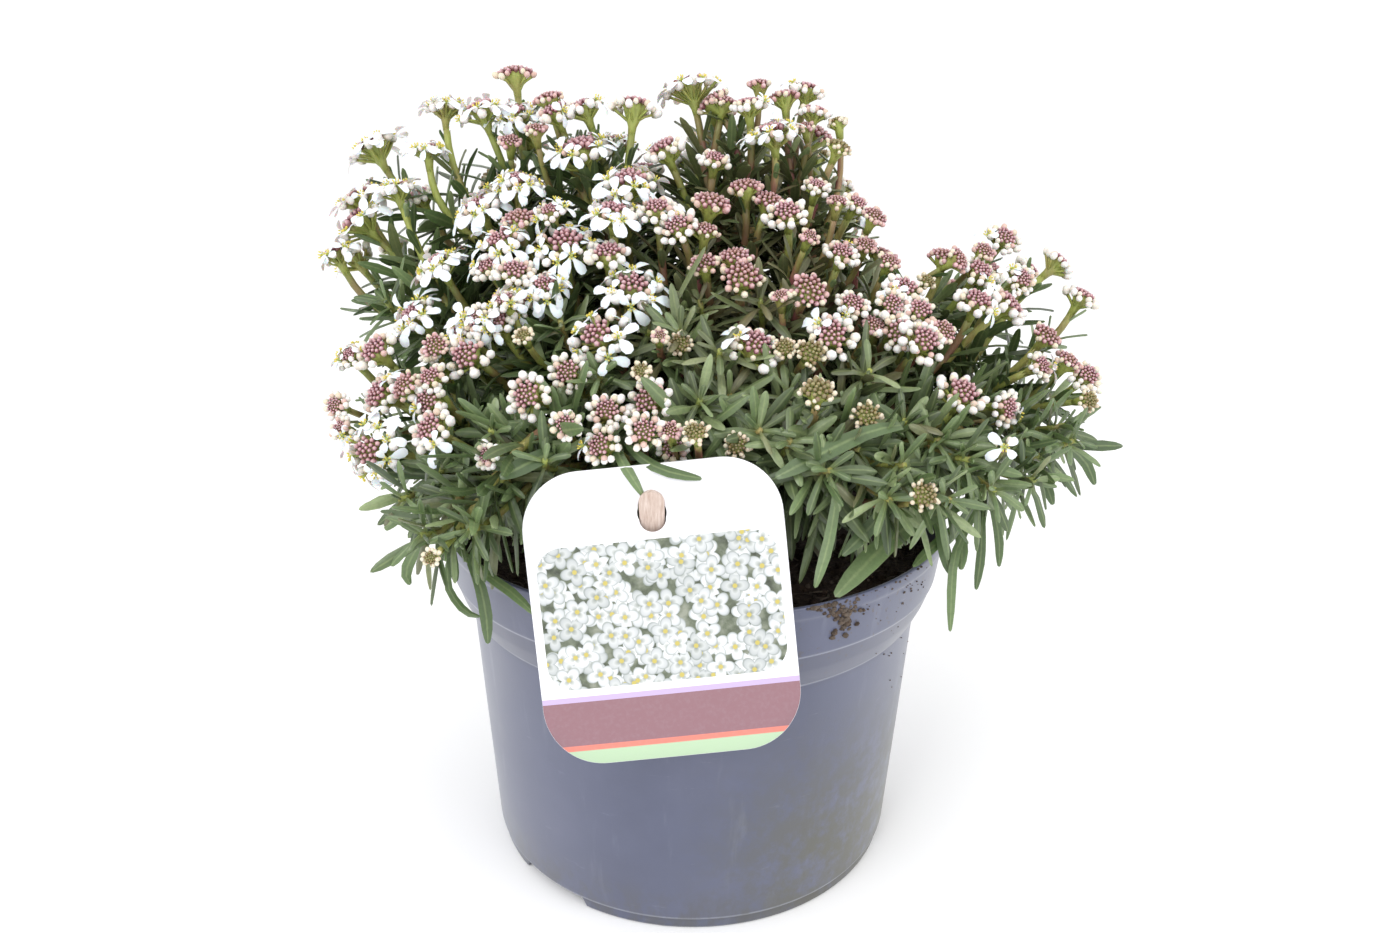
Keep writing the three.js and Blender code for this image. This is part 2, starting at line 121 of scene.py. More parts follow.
# Flower heads in the photograph, by how far they have opened: pixel x, pixel y and pixel radius
HEADS = {
    "open": [
        (372, 145, 26), (445, 105, 18), (428, 148, 16), (480, 108, 24), (358, 195, 20), (395, 187, 18),
        (357, 220, 28), (335, 252, 18), (478, 205, 22), (515, 112, 20), (520, 180, 20), (505, 185, 20),
        (690, 85, 28), (580, 148, 32), (630, 180, 28), (613, 210, 24), (550, 210, 16), (773, 130, 24),
        (437, 262, 22), (412, 314, 22), (500, 240, 22), (475, 318, 16), (505, 300, 16), (457, 332, 12),
        (565, 243, 32), (545, 285, 20), (520, 300, 16), (632, 285, 28), (598, 335, 30), (370, 450, 28),
        (350, 355, 16),
    ],
    "bud": [
        (555, 110, 20), (583, 105, 20), (635, 105, 25), (663, 147, 22), (715, 158, 16), (657, 207, 20),
        (748, 103, 18), (808, 88, 18), (815, 110, 16), (817, 185, 14), (858, 203, 15), (787, 212, 22),
        (488, 265, 18), (515, 270, 20), (497, 322, 20), (375, 350, 24), (467, 355, 26), (430, 353, 10),
        (608, 252, 22), (677, 225, 20), (842, 252, 18), (905, 287, 20), (853, 303, 18), (893, 305, 18),
        (920, 310, 20), (832, 335, 26), (900, 332, 22), (757, 345, 28), (1005, 237, 18), (980, 270, 20),
        (1060, 262, 18), (1022, 278, 16), (1083, 295, 18), (978, 300, 22), (1010, 303, 22),
        (925, 340, 24), (335, 405, 14), (340, 428, 14), (378, 395, 24), (430, 377, 18), (428, 400, 20),
        (430, 428, 24), (487, 455, 14), (528, 395, 24), (565, 425, 16), (568, 372, 20), (607, 410, 20),
        (648, 400, 24), (645, 430, 20), (672, 447, 18), (963, 392, 26), (1008, 408, 18), (1042, 365, 15),
        (1088, 375, 18), (600, 445, 20),
    ],
    "young": [
        (515, 72, 20), (535, 128, 12), (510, 140, 12), (518, 217, 18), (548, 97, 16), (712, 100, 18),
        (712, 201, 21), (760, 83, 13), (725, 100, 14), (785, 95, 16), (805, 125, 8), (745, 185, 18),
        (770, 200, 18), (838, 200, 12), (435, 345, 14), (705, 228, 14), (703, 262, 16), (735, 255, 18),
        (743, 275, 22), (810, 235, 10), (866, 244, 12), (875, 215, 14), (890, 260, 12), (810, 290, 20),
        (780, 295, 10), (875, 325, 14), (945, 255, 16), (960, 258, 14), (985, 250, 12), (1048, 335, 16),
        (945, 330, 14), (403, 385, 16), (670, 430, 12), (1070, 360, 15), (660, 335, 8),
    ],
    "green": [
        (838, 120, 10), (840, 145, 14), (523, 335, 10), (680, 343, 13), (785, 347, 12), (812, 352, 17),
        (928, 280, 10), (695, 432, 14), (640, 370, 10), (737, 445, 14), (818, 390, 20), (868, 415, 16),
        (925, 495, 16), (1090, 400, 12), (430, 558, 9),
    ],
    "single": [(1003, 450, 15)],
}
# Leafy shoots with no flowers, where the photograph shows rosettes: pixel x and pixel y
ROSETTES = [
    (680, 330), (730, 395), (790, 440), (700, 400), (760, 430), (905, 465), (940, 440), (995, 490),
    (860, 450), (830, 470), (890, 500), (970, 460), (1040, 455), (1065, 425), (1020, 420),
    (545, 460), (455, 500), (490, 430), (400, 500), (420, 535), (470, 530), (500, 480), (385, 300),
    (440, 470), (520, 440), (600, 375), (560, 320), (870, 370), (950, 500), (760, 300), (650, 330),
    (720, 350), (1075, 440), (1035, 480), (905, 420), (850, 410), (790, 390), (700, 300),
]
# The plant's upper outline in the photograph, which nothing at its back rises above
SKYLINE = [
    (320, 260), (345, 185), (372, 135), (440, 100), (515, 75), (583, 100), (640, 95), (690, 80),
    (760, 85), (808, 88), (835, 130), (850, 200), (885, 235), (915, 290), (935, 300), (950, 262),
    (1005, 235), (1060, 255), (1095, 290), (1105, 330),
]


def srgb(red, green, blue):
    """A linear colour with alpha, from 0 to 255 screen values."""
    shares = [value / 255 for value in (red, green, blue)]
    linear = [s / 12.92 if s <= 0.04045 else ((s + 0.055) / 1.055) ** 2.4 for s in shares]
    return (*linear, 1.0)


def unit(vector):
    vector = np.asarray(vector, float)
    return vector / (np.linalg.norm(vector, axis=-1, keepdims=True) + 1e-12)


# Meshes

class Mesher:
    """Gathers closed lofts and stamped copies into one mesh, with values per vertex for its material."""

    CHANNELS = ("tone", "along", "across", "vary")
    layouts = {}

    def __init__(self):
        self.points, self.quads, self.tris = [], [], []
        self.quad_materials, self.tri_materials, self.sharp = [], [], []
        self.values = {channel: [] for channel in self.CHANNELS}
        self.count = 0

    @classmethod
    def layout(cls, rings, sides):
        """Quads and triangles of a loft that ends in a point at both ends."""
        if (rings, sides) not in cls.layouts:
            row = np.arange(rings - 1)[:, None] * sides
            here = np.arange(sides)[None, :]
            after = (here + 1) % sides
            quads = np.stack([row + here, row + after, row + after + sides, row + here + sides], -1)
            last = (rings - 1) * sides
            start, end = rings * sides, rings * sides + 1
            here, after = here[0], after[0]
            first_fan = np.stack([after, here, np.full(sides, start)], -1)
            last_fan = np.stack([last + here, last + after, np.full(sides, end)], -1)
            cls.layouts[rings, sides] = quads.reshape(-1, 4), np.concatenate([first_fan, last_fan])
        return cls.layouts[rings, sides]

    def add(self, points, quads, tris, material=0, sharp=None, **values):
        self.points.append(points)
        self.quads.append(quads + self.count)
        self.tris.append(tris + self.count)
        self.quad_materials.append(np.full(len(quads), material))
        self.tri_materials.append(np.full(len(tris), material))
        self.sharp.append(np.zeros(len(points), bool) if sharp is None else sharp)
        for channel in self.CHANNELS:
            value = np.asarray(values.get(channel, 0.0), float)
            self.values[channel].append(np.broadcast_to(value, len(points)))
        self.count += len(points)

    def loft(self, rings, start, end, material=0, sharp=None, **values):
        """Joins rings of points, each counter-clockwise about the direction of travel."""
        count, sides = rings.shape[:2]
        quads, tris = self.layout(count, sides)
        points = np.concatenate([rings.reshape(-1, 3), [start, end]])
        spread = {}
        for channel, value in values.items():
            grid = np.broadcast_to(np.asarray(value, float), (count, sides))
            ends = [grid[0].mean(), grid[-1].mean()]
            spread[channel] = np.concatenate([grid.ravel(), ends])
        if sharp is not None:
            sharp = np.concatenate([np.tile(sharp, count), [True, True]])
        self.add(points, quads, tris, material, sharp, **spread)

    def stamp(self, template, bases, places, material=0, **values):
        """Copies a template, by a 3 by 3 basis and a place for each copy."""
        points, quads, tris, along = template
        bases, places = np.asarray(bases), np.asarray(places)
        copies = len(places)
        if not copies:
            return
        moved = np.einsum("cij,pj->cpi", bases, points) + places[:, None]
        shift = (np.arange(copies) * len(points))[:, None, None]
        spread = {name: np.repeat(np.asarray(value, float), len(points)) for name, value in values.items()}
        spread["along"] = np.tile(along, copies)
        quads = (quads[None] + shift).reshape(-1, 4)
        tris = (tris[None] + shift).reshape(-1, 3)
        self.add(moved.reshape(-1, 3), quads, tris, material, **spread)

    def build(self, name, materials):
        points = np.concatenate(self.points) * MM
        quads = np.concatenate(self.quads).astype(np.int32)
        tris = np.concatenate(self.tris).astype(np.int32)
        mesh = bpy.data.meshes.new(name)
        mesh.vertices.add(len(points))
        mesh.vertices.foreach_set("co", points.astype(np.float32).ravel())
        mesh.loops.add(quads.size + tris.size)
        mesh.loops.foreach_set("vertex_index", np.concatenate([quads.ravel(), tris.ravel()]))
        mesh.polygons.add(len(quads) + len(tris))
        starts = np.concatenate([np.arange(len(quads)) * 4, quads.size + np.arange(len(tris)) * 3])
        mesh.polygons.foreach_set("loop_start", starts.astype(np.int32))
        slots = np.concatenate(self.quad_materials + self.tri_materials)
        mesh.polygons.foreach_set("material_index", slots.astype(np.int32))
        mesh.update(calc_edges=True)
        for channel, values in self.values.items():
            attribute = mesh.attributes.new(channel, "FLOAT", "POINT")
            attribute.data.foreach_set("value", np.concatenate(values).astype(np.float32))
        for material in materials:
            mesh.materials.append(material)
        mesh.shade_smooth()
        sharp = np.concatenate(self.sharp)
        if sharp.any():
            ends = np.zeros(len(mesh.edges) * 2, np.int32)
            mesh.edges.foreach_get("vertices", ends)
            both = sharp[ends.reshape(-1, 2)].all(1)
            hard = mesh.attributes.get("sharp_edge") or mesh.attributes.new("sharp_edge", "BOOLEAN", "EDGE")
            hard.data.foreach_set("value", both)
        piece = bpy.data.objects.new(name, mesh)
        bpy.context.scene.collection.objects.link(piece)
        return piece


def bezier(controls, count):
    """Points on a curve with three or four control points."""
    t = np.linspace(0, 1, count)[:, None]
    points = [np.asarray(point, float) for point in controls]
    while len(points) > 1:
        points = [(1 - t) * first + t * second for first, second in zip(points, points[1:])]
    return points[0]


def spline(points, count):
    """Points on a smooth curve through the given ones."""
    points = np.asarray(points, float)
    padded = np.concatenate([[2 * points[0] - points[1]], points, [2 * points[-1] - points[-2]]])
    t = np.linspace(0, len(points) - 1, count)
    i = np.minimum(t.astype(int), len(points) - 2)
    f = (t - i)[:, None]
    a, b, c, d = (padded[i + k] for k in range(4))
    square, cube = 2 * a - 5 * b + 4 * c - d, 3 * b - a - 3 * c + d
    return 0.5 * (2 * b + (c - a) * f + square * f ** 2 + cube * f ** 3)


def tangents(points):
    return unit(np.gradient(points, axis=0))


def lengths(points):
    return np.concatenate([[0], np.cumsum(np.linalg.norm(np.diff(points, axis=0), axis=1))])


def between(at, known, rows):
    """Rows of numbers read off at places between the known ones."""
    return np.stack([np.interp(at, known, column) for column in rows.T], -1)


def at_length(points, distance):
    """The place and direction at a distance along a line of points."""
    run = lengths(points)
    return between(distance, run, points), unit(between(distance, run, tangents(points)))


def across(direction):
    """Two unit vectors square to a direction; with it they are a right-handed frame."""
    helper = np.array([1.0, 0, 0]) if abs(direction[0]) < 0.9 else np.array([0, 1.0, 0])
    first = unit(np.cross(direction, helper))
    return first, np.cross(direction, first)


def polar(angle, first=np.array([1.0, 0, 0]), second=np.array([0, 1.0, 0])):
    """The unit vector at an angle from the first of two directions towards the second."""
    return math.cos(angle) * first + math.sin(angle) * second


def angles_round(sides):
    """Even angles round a circle, one for each side."""
    return np.arange(sides) * TURN / sides


def tube(mesher, points, radii, sides, material=0, flute=0.0, **values):
    """A closed round tube along points; flute deepens every second side."""
    along = tangents(points)
    side = across(along[0])[0]
    angles = angles_round(sides)
    shape = 1 - flute * (np.arange(sides) % 2)
    rings = []
    for point, direction, radius in zip(points, along, np.broadcast_to(radii, len(points))):
        side = unit(side - (side @ direction) * direction)
        other = np.cross(direction, side)
        ring = np.outer(np.cos(angles) * shape, side) + np.outer(np.sin(angles) * shape, other)
        rings.append(point + radius * ring)
    mesher.loft(np.array(rings), points[0], points[-1], material, **values)


def revolved(profile, sides):
    """The rings and two end points of a profile that is turned round Z, from the axis back to it."""
    angles = angles_round(sides)
    ring = np.stack([np.cos(angles), np.sin(angles), np.zeros(sides)], -1)
    inner = np.asarray(profile[1:-1])
    rings = inner[:, 0, None, None] * ring + inner[:, 1, None, None] * UP
    return rings, profile[0][1] * UP, profile[-1][1] * UP


def lathe_template(profile, sides):
    """A closed turned shape of unit size on the Z axis, to be stamped."""
    rings, start, end = revolved(profile, sides)
    points = np.concatenate([rings.reshape(-1, 3), [start, end]])
    return points, *Mesher.layout(len(rings), sides), points[:, 2]


SMALL_BUD = lathe_template([(0, 0), (0.44, 0.26), (0.46, 0.68), (0, 1)], 5)
RING_BUD = lathe_template([(0, 0), (0.32, 0.1), (0.5, 0.38), (0.47, 0.7), (0.27, 0.93), (0, 1)], 7)


class Copies:
    """Gathers copies of a bud, which are then stamped together."""

    def __init__(self):
        self.bases, self.places, self.tones, self.varies = [], [], [], []

    def add(self, place, heading, diameter, length, tone, vary=0.0):
        side, other = across(heading)
        self.bases.append(np.stack([side * diameter, other * diameter, heading * length], -1))
        self.places.append(place)
        self.tones.append(tone)
        self.varies.append(vary)

    def stamp(self, mesher, template, material):
        mesher.stamp(template, self.bases, self.places, material, tone=self.tones, vary=self.varies)


# Camera and the photograph's lines of sight

forward = np.array([0, math.cos(CAMERA_DOWN), -math.sin(CAMERA_DOWN)])
level_right = np.array([1.0, 0, 0])
level_up = np.cross(level_right, forward)
camera_right = level_right * math.cos(CAMERA_ROLL) + level_up * math.sin(CAMERA_ROLL)
camera_up = level_up * math.cos(CAMERA_ROLL) - level_right * math.sin(CAMERA_ROLL)


def sight(pixel_x, pixel_y):
    """The direction of a pixel's line of sight, not of unit length."""
    side = (pixel_x - PHOTO_WIDTH / 2) / FOCAL_PIXELS
    rise = (PHOTO_HEIGHT / 2 - pixel_y) / FOCAL_PIXELS
    return forward + side * camera_right + rise * camera_up


def on_sight(pixel_x, pixel_y, y):
    """The point of a pixel's line of sight at a given y."""
    direction = sight(pixel_x, pixel_y)
    return CAMERA_PLACE + direction * (y - CAMERA_PLACE[1]) / direction[1]


def depth_of(point):
    return (point - CAMERA_PLACE) @ forward


def pixel_of(point):
    offset = point - CAMERA_PLACE
    depth = offset @ forward
    x = PHOTO_WIDTH / 2 + FOCAL_PIXELS * (offset @ camera_right) / depth
    return x, PHOTO_HEIGHT / 2 - FOCAL_PIXELS * (offset @ camera_up) / depth


# The plant's outer surface: its front stands further back the higher it is in the photograph
FRONT_Y = -80.0
FRONT_PIXEL_Y = 449.0
BACK_PER_PIXEL = 0.3014
EDGE_BACK = 30.0
AXIS_PIXEL_X = 695.0
EDGE_PIXELS = 355.0


def canopy_y(pixel_x, pixel_y):
    edge = (pixel_x - AXIS_PIXEL_X) / EDGE_PIXELS
    return FRONT_Y + BACK_PER_PIXEL * (FRONT_PIXEL_Y - pixel_y) + EDGE_BACK * edge ** 2


def make_camera():
    data = bpy.data.cameras.new("camera")
    data.sensor_width = SENSOR_WIDTH
    data.lens = LENS
    data.clip_start = 0.01
    data.clip_end = 50
    camera = bpy.data.objects.new("camera", data)
    basis = Matrix((camera_right, camera_up, -forward)).transposed().to_4x4()
    camera.matrix_world = Matrix.Translation(Vector(CAMERA_PLACE * MM)) @ basis
    bpy.context.scene.collection.objects.link(camera)
    bpy.context.scene.camera = camera


# Materials

class Look:
    """A node material. Its methods add nodes, and take values or the sockets that feed them."""

    def __init__(self, name):
        self.material = bpy.data.materials.new(name)
        self.material.use_nodes = True
        self.tree = self.material.node_tree
        self.shader = self.tree.nodes["Principled BSDF"]

    def feed(self, target, value):
        if isinstance(value, bpy.types.NodeSocket):
            self.tree.links.new(value, target)
        else:
            target.default_value = value

    def surface(self, **sockets):
        """Sets or feeds the shader's sockets."""
        for name, value in sockets.items():
            self.feed(self.shader.inputs[name.replace("_", " ")], value)

    def node(self, kind, inputs=None, **settings):
        made = self.tree.nodes.new(kind)
        for name, value in settings.items():
            setattr(made, name, value)
        for name, value in (inputs or {}).items():
            self.feed(made.inputs[name], value)
        return made

    def attributes(self, *names):
        """The mesh's values per vertex."""
        return [self.node("ShaderNodeAttribute", attribute_name=name).outputs["Fac"] for name in names]

    def maths(self, operation, first, second=0.0, clamp=False):
        inputs = {0: first, 1: second}
        return self.node("ShaderNodeMath", inputs, operation=operation, use_clamp=clamp).outputs[0]

    def times(self, first, *others):
        for other in others:
            first = self.maths("MULTIPLY", first, other)
        return first

    def distance_from(self, value, centre):
        return self.maths("ABSOLUTE", self.maths("SUBTRACT", value, centre))

    def remap(self, value, low, high, to_low=0.0, to_high=1.0):
        """A smooth step from one value to another."""
        inputs = {"Value": value, "From Min": low, "From Max": high, "To Min": to_low, "To Max": to_high}
        return self.node("ShaderNodeMapRange", inputs, interpolation_type="SMOOTHSTEP").outputs["Result"]

    def mix(self, share, first, second, blend="MIX"):
        inputs = {0: share, 6: first, 7: second}
        return self.node("ShaderNodeMix", inputs, data_type="RGBA", blend_type=blend).outputs[2]

    def ramp(self, value, *stops):
        """A colour ramp; each stop is a position and a screen colour."""
        made = self.node("ShaderNodeValToRGB", {"Fac": value})
        elements = made.color_ramp.elements
        while len(elements) < len(stops):
            elements.new(0.5)
        for element, (position, *colour) in zip(elements, stops):
            element.position = position
            element.color = srgb(*colour)
        return made.outputs["Color"]

    def place(self):
        return self.node("ShaderNodeTexCoord").outputs["Object"]

    def noise(self, scale, detail=4.0, roughness=0.55, stretch=(1, 1, 1)):
        """Noise in the object's own space, longer along an axis with a small stretch."""
        place = self.node("ShaderNodeMapping", {"Vector": self.place(), "Scale": stretch}).outputs["Vector"]
        inputs = {"Vector": place, "Scale": scale, "Detail": detail, "Roughness": roughness}
        return self.node("ShaderNodeTexNoise", inputs).outputs["Fac"]

    def bump(self, height, strength, distance=0.001):
        inputs = {"Height": height, "Strength": strength, "Distance": distance}
        self.surface(Normal=self.node("ShaderNodeBump", inputs).outputs["Normal"])


def leaf_material():
    look = Look("leaf")
    vary, along, side, tone = look.attributes("vary", "along", "across", "tone")
    cells = look.noise(900)
    body = look.ramp(vary, (0.0, 58, 76, 46), (0.35, 82, 103, 62), (0.7, 108, 129, 84), (1.0, 144, 160, 114))
    body = look.mix(look.remap(along, 0.35, 0.0), body, srgb(136, 150, 98))
    rib = look.remap(look.maths("ABSOLUTE", side), 0.26, 0.02)
    body = look.mix(look.times(rib, 0.32), body, srgb(160, 176, 120))
    body = look.mix(tone, body, srgb(116, 98, 72))
    body = look.mix(look.remap(cells, 0.35, 0.75, 0.0, 0.25), body, srgb(58, 74, 50))
    look.surface(Base_Color=body, Roughness=look.remap(cells, 0.3, 0.7, 0.38, 0.54))
    look.surface(Coat_Weight=0.35, Coat_Roughness=0.36)
    look.surface(Subsurface_Weight=0.06, Subsurface_Scale=0.002, Subsurface_Radius=(0.5, 1.0, 0.2))
    look.bump(cells, 0.18, 0.0004)
    return look.material


def stem_material():
    look = Look("stem")
    tone, vary = look.attributes("tone", "vary")
    lines = look.noise(1400, 3, stretch=(1, 1, 0.12))
    green = look.ramp(vary, (0.0, 104, 118, 56), (0.5, 138, 150, 72), (1.0, 170, 178, 92))
    flush = look.ramp(vary, (0.0, 112, 64, 60), (1.0, 150, 88, 90))
    patches = look.noise(190, 3, stretch=(1, 1, 0.3))
    share = look.maths("ADD", tone, look.remap(patches, 0.3, 0.7, -0.3, 0.3), clamp=True)
    body = look.mix(share, green, flush)
    body = look.mix(look.remap(lines, 0.4, 0.75, 0.0, 0.35), body, srgb(92, 92, 50))
    look.surface(Base_Color=body, Roughness=0.5, Subsurface_Weight=0.05, Subsurface_Scale=0.002)
    look.bump(lines, 0.25, 0.0004)
    return look.material


def bud_material():
    """From green through mauve to white as its tone rises, with pale tips while it is closed."""
    look = Look("bud")
    tone, along, vary = look.attributes("tone", "along", "vary")
    body = look.ramp(
        tone, (0.0, 140, 140, 88), (0.2, 142, 102, 84), (0.38, 143, 88, 98),
        (0.58, 198, 156, 150), (0.76, 220, 210, 186), (0.95, 234, 231, 229),
    )
    dark = look.mix(look.remap(vary, 0.0, 1.0, 0.0, 0.35), body, srgb(124, 78, 92), "MULTIPLY")
    closed = look.remap(tone, 0.72, 0.5)
    body = look.mix(closed, body, dark)
    tip = look.times(look.remap(along, 0.56, 1.0), closed, look.remap(tone, 0.08, 0.28, 0.1, 0.8))
    body = look.mix(tip, body, srgb(224, 190, 196))
    foot = look.times(look.remap(along, 0.3, 0.06), 0.8)
    body = look.mix(foot, body, srgb(150, 140, 92))
    look.surface(Base_Color=body, Roughness=0.55, Subsurface_Weight=0.12, Subsurface_Scale=0.0015)
    look.bump(look.noise(1500, 2), 0.15, 0.0003)
    return look.material


def petal_material():
    look = Look("petal")
    along, side = look.attributes("along", "across")
    spread = look.node("ShaderNodeCombineXYZ", {"X": side}).outputs[0]
    inputs = {"Vector": spread, "Scale": 1.6, "Distortion": 0.6}
    veins = look.node("ShaderNodeTexWave", inputs).outputs["Fac"]
    body = look.mix(look.remap(along, 0.28, 0.02), srgb(243, 243, 246), srgb(216, 222, 172))
    body = look.mix(look.remap(veins, 0.6, 1.0, 0.0, 0.2), body, srgb(200, 202, 220))
    look.surface(Base_Color=body, Roughness=0.6, Subsurface_Weight=0.25, Subsurface_Scale=0.0015)
    look.bump(veins, 0.12, 0.0003)
    return look.material


def centre_material():
    look = Look("flower_centre")
    body = look.ramp(*look.attributes("tone"), (0.0, 150, 172, 84), (1.0, 226, 206, 92))
    body = look.mix(look.remap(look.noise(2400, 2), 0.4, 0.7, 0.0, 0.3), body, srgb(196, 170, 60))
    look.surface(Base_Color=body, Roughness=0.65)
    return look.material


def bark_material():
    look = Look("bark")
    grain = look.noise(420, 8, 0.65, stretch=(1, 1, 0.25))
    body = look.ramp(grain, (0.25, 58, 44, 34), (0.5, 104, 84, 62), (0.75, 150, 130, 100))
    look.surface(Base_Color=body, Roughness=0.85)
    look.bump(grain, 0.7, 0.0012)
    return look.material


def soil_material():
    look = Look("soil")
    grain = look.noise(700, 8, 0.7)
    body = look.ramp(grain, (0.25, 36, 28, 23), (0.5, 70, 55, 45), (0.68, 110, 88, 70), (0.85, 158, 132, 106))
    body = look.mix(look.remap(look.noise(60, 4), 0.35, 0.7, 0.0, 0.5), body, srgb(46, 36, 30))
    body = look.mix(*look.attributes("tone"), body, srgb(196, 182, 166))
    look.surface(Base_Color=body, Roughness=0.92)
    look.bump(grain, 0.9, 0.0015)
    return look.material


def pot_material():
    look = Look("pot_plastic")
    separate = look.node("ShaderNodeSeparateXYZ", {"Vector": look.place()})
    x, y, z = (separate.outputs[name] for name in "XYZ")
    cloud = look.noise(26, 5, 0.6)
    body = look.ramp(cloud, (0.3, 63, 69, 95), (0.5, 70, 76, 102), (0.72, 80, 85, 110))
    # Dry water marks that run down the wall, and scuffs round it
    marks = look.noise(130, 5, 0.6, stretch=(1, 1, 0.16))
    body = look.mix(look.remap(marks, 0.56, 0.75, 0.0, 0.34), body, srgb(116, 120, 138))
    scuffs = look.noise(60, 6, 0.75, stretch=(1, 1, 7))
    body = look.mix(look.remap(scuffs, 0.62, 0.72, 0.0, 0.3), body, srgb(128, 131, 148))
    # Green algae on the lower right
    right = look.remap(x, -0.012, 0.045)
    algae = look.times(right, look.remap(y, 0.05, -0.01), look.remap(z, 0.09, 0.02))
    algae = look.times(algae, look.remap(look.noise(95, 8, 0.75), 0.33, 0.6))
    body = look.mix(look.times(algae, 0.84), body, srgb(78, 77, 58))
    # Painted shade: the slope under the band is darkened
    under = look.times(look.remap(z, 0.086, 0.09), look.remap(z, 0.1025, 0.101), 0.6)
    body = look.mix(under, body, srgb(54, 59, 82))
    # Painted highlights: thin pale lines along the edges at the band and above the foot ring
    for level in (BAND_LINE[1], BODY_TOP[1], BODY_FOOT[1] + 0.4):
        line = look.remap(look.distance_from(z, level * MM), 0.0005, 0.0001)
        body = look.mix(look.times(line, 0.45), body, srgb(150, 154, 170))
    # Dirt round the foot, and splashes of soil below the rim
    dirt = look.remap(look.noise(150, 6, 0.7, stretch=(1, 1, 0.6)), 0.42, 0.62)
    body = look.mix(look.times(look.remap(z, 0.022, 0.002), dirt, 0.55), body, srgb(68, 67, 62))
    splash = look.times(look.remap(look.noise(420, 4, 0.7), 0.6, 0.66), look.remap(z, 0.075, 0.118))
    body = look.mix(look.times(splash, right, 0.75), body, srgb(72, 58, 48))
    rough = look.maths("ADD", look.remap(cloud, 0.3, 0.7, 0.4, 0.56), look.times(algae, 0.25))
    look.surface(Base_Color=body, Roughness=rough, IOR=1.5, Coat_Weight=0.55, Coat_Roughness=0.34)
    look.surface(Sheen_Weight=0.2, Sheen_Roughness=0.5)
    look.bump(look.noise(1500, 2), 0.08, 0.0003)
    return look.material


def wood_material():
    look = Look("stick_wood")
    grain = look.noise(1600, 6, 0.6, stretch=(1, 1, 0.06))
    body = look.ramp(grain, (0.3, 174, 150, 137), (0.55, 198, 180, 169), (0.8, 218, 204, 196))
    look.surface(Base_Color=body, Roughness=0.7)
    look.bump(grain, 0.3, 0.0004)
    return look.material


# The card's print, in metres from the card's middle
PANEL_CENTRE_Y = 0.0005
PANEL_HALF = (0.0325, 0.0195)
PANEL_CORNER = 0.007
# Each stripe's lower and upper edge and its colour
STRIPES = [
    (-0.0225, -0.021, (190, 170, 208)), (-0.0345, -0.0225, (140, 104, 112)),
    (-0.036, -0.0345, (214, 126, 112)), (-0.05, -0.036, (176, 201, 168)),
]
# Layers of flowers in the panel: cells per metre, shift, and size as a share of a cell
BLOSSOM_LAYERS = [(120, (0.05, 0.02, 0), 0.5), (132, (0.31, 0.17, 0), 0.52), (125, (0.63, 0.41, 0), 0.5)]


def blossoms(look, base, scale, shift, size):
    """Four-petalled flowers, one in each cell of a scattered grid, over a base colour."""
    shifted = look.node("ShaderNodeMapping", {"Vector": look.place(), "Location": shift}).outputs["Vector"]
    cells = look.node("ShaderNodeTexVoronoi", {"Vector": shifted, "Scale": scale}, voronoi_dimensions="2D")
    ends = {0: shifted, 1: cells.outputs["Position"]}
    local = look.node("ShaderNodeVectorMath", ends, operation="SUBTRACT").outputs[0]
    parts = look.node("ShaderNodeSeparateXYZ", {"Vector": local})
    chance = look.node("ShaderNodeSeparateColor", {"Color": cells.outputs["Color"]})
    angle = look.maths("ARCTAN2", parts.outputs["Y"], parts.outputs["X"])
    turned_angle = look.maths("ADD", angle, look.times(chance.outputs["Red"], TURN))
    wave = look.maths("ABSOLUTE", look.maths("COSINE", look.times(turned_angle, 2.0)))
    reach = look.times(look.maths("ADD", look.times(wave, 0.5), 0.5), size / scale)
    distance = look.maths("DIVIDE", cells.outputs["Distance"], scale)
    petal = look.remap(look.maths("SUBTRACT", reach, distance), -0.00012, 0.00012)
    shade = look.ramp(
        look.maths("DIVIDE", distance, reach), (0.1, 138, 146, 136), (0.55, 222, 224, 225),
        (0.85, 206, 209, 212), (1.0, 152, 160, 156),
    )
    dim = look.remap(chance.outputs["Green"], 0.0, 1.0, 0.0, 0.4)
    colour = look.mix(dim, shade, srgb(150, 160, 152), "MULTIPLY")
    heart = look.maths("LESS_THAN", distance, 0.16 * size / scale)
    colour = look.mix(heart, colour, srgb(190, 176, 96))
    return look.mix(petal, base, colour)


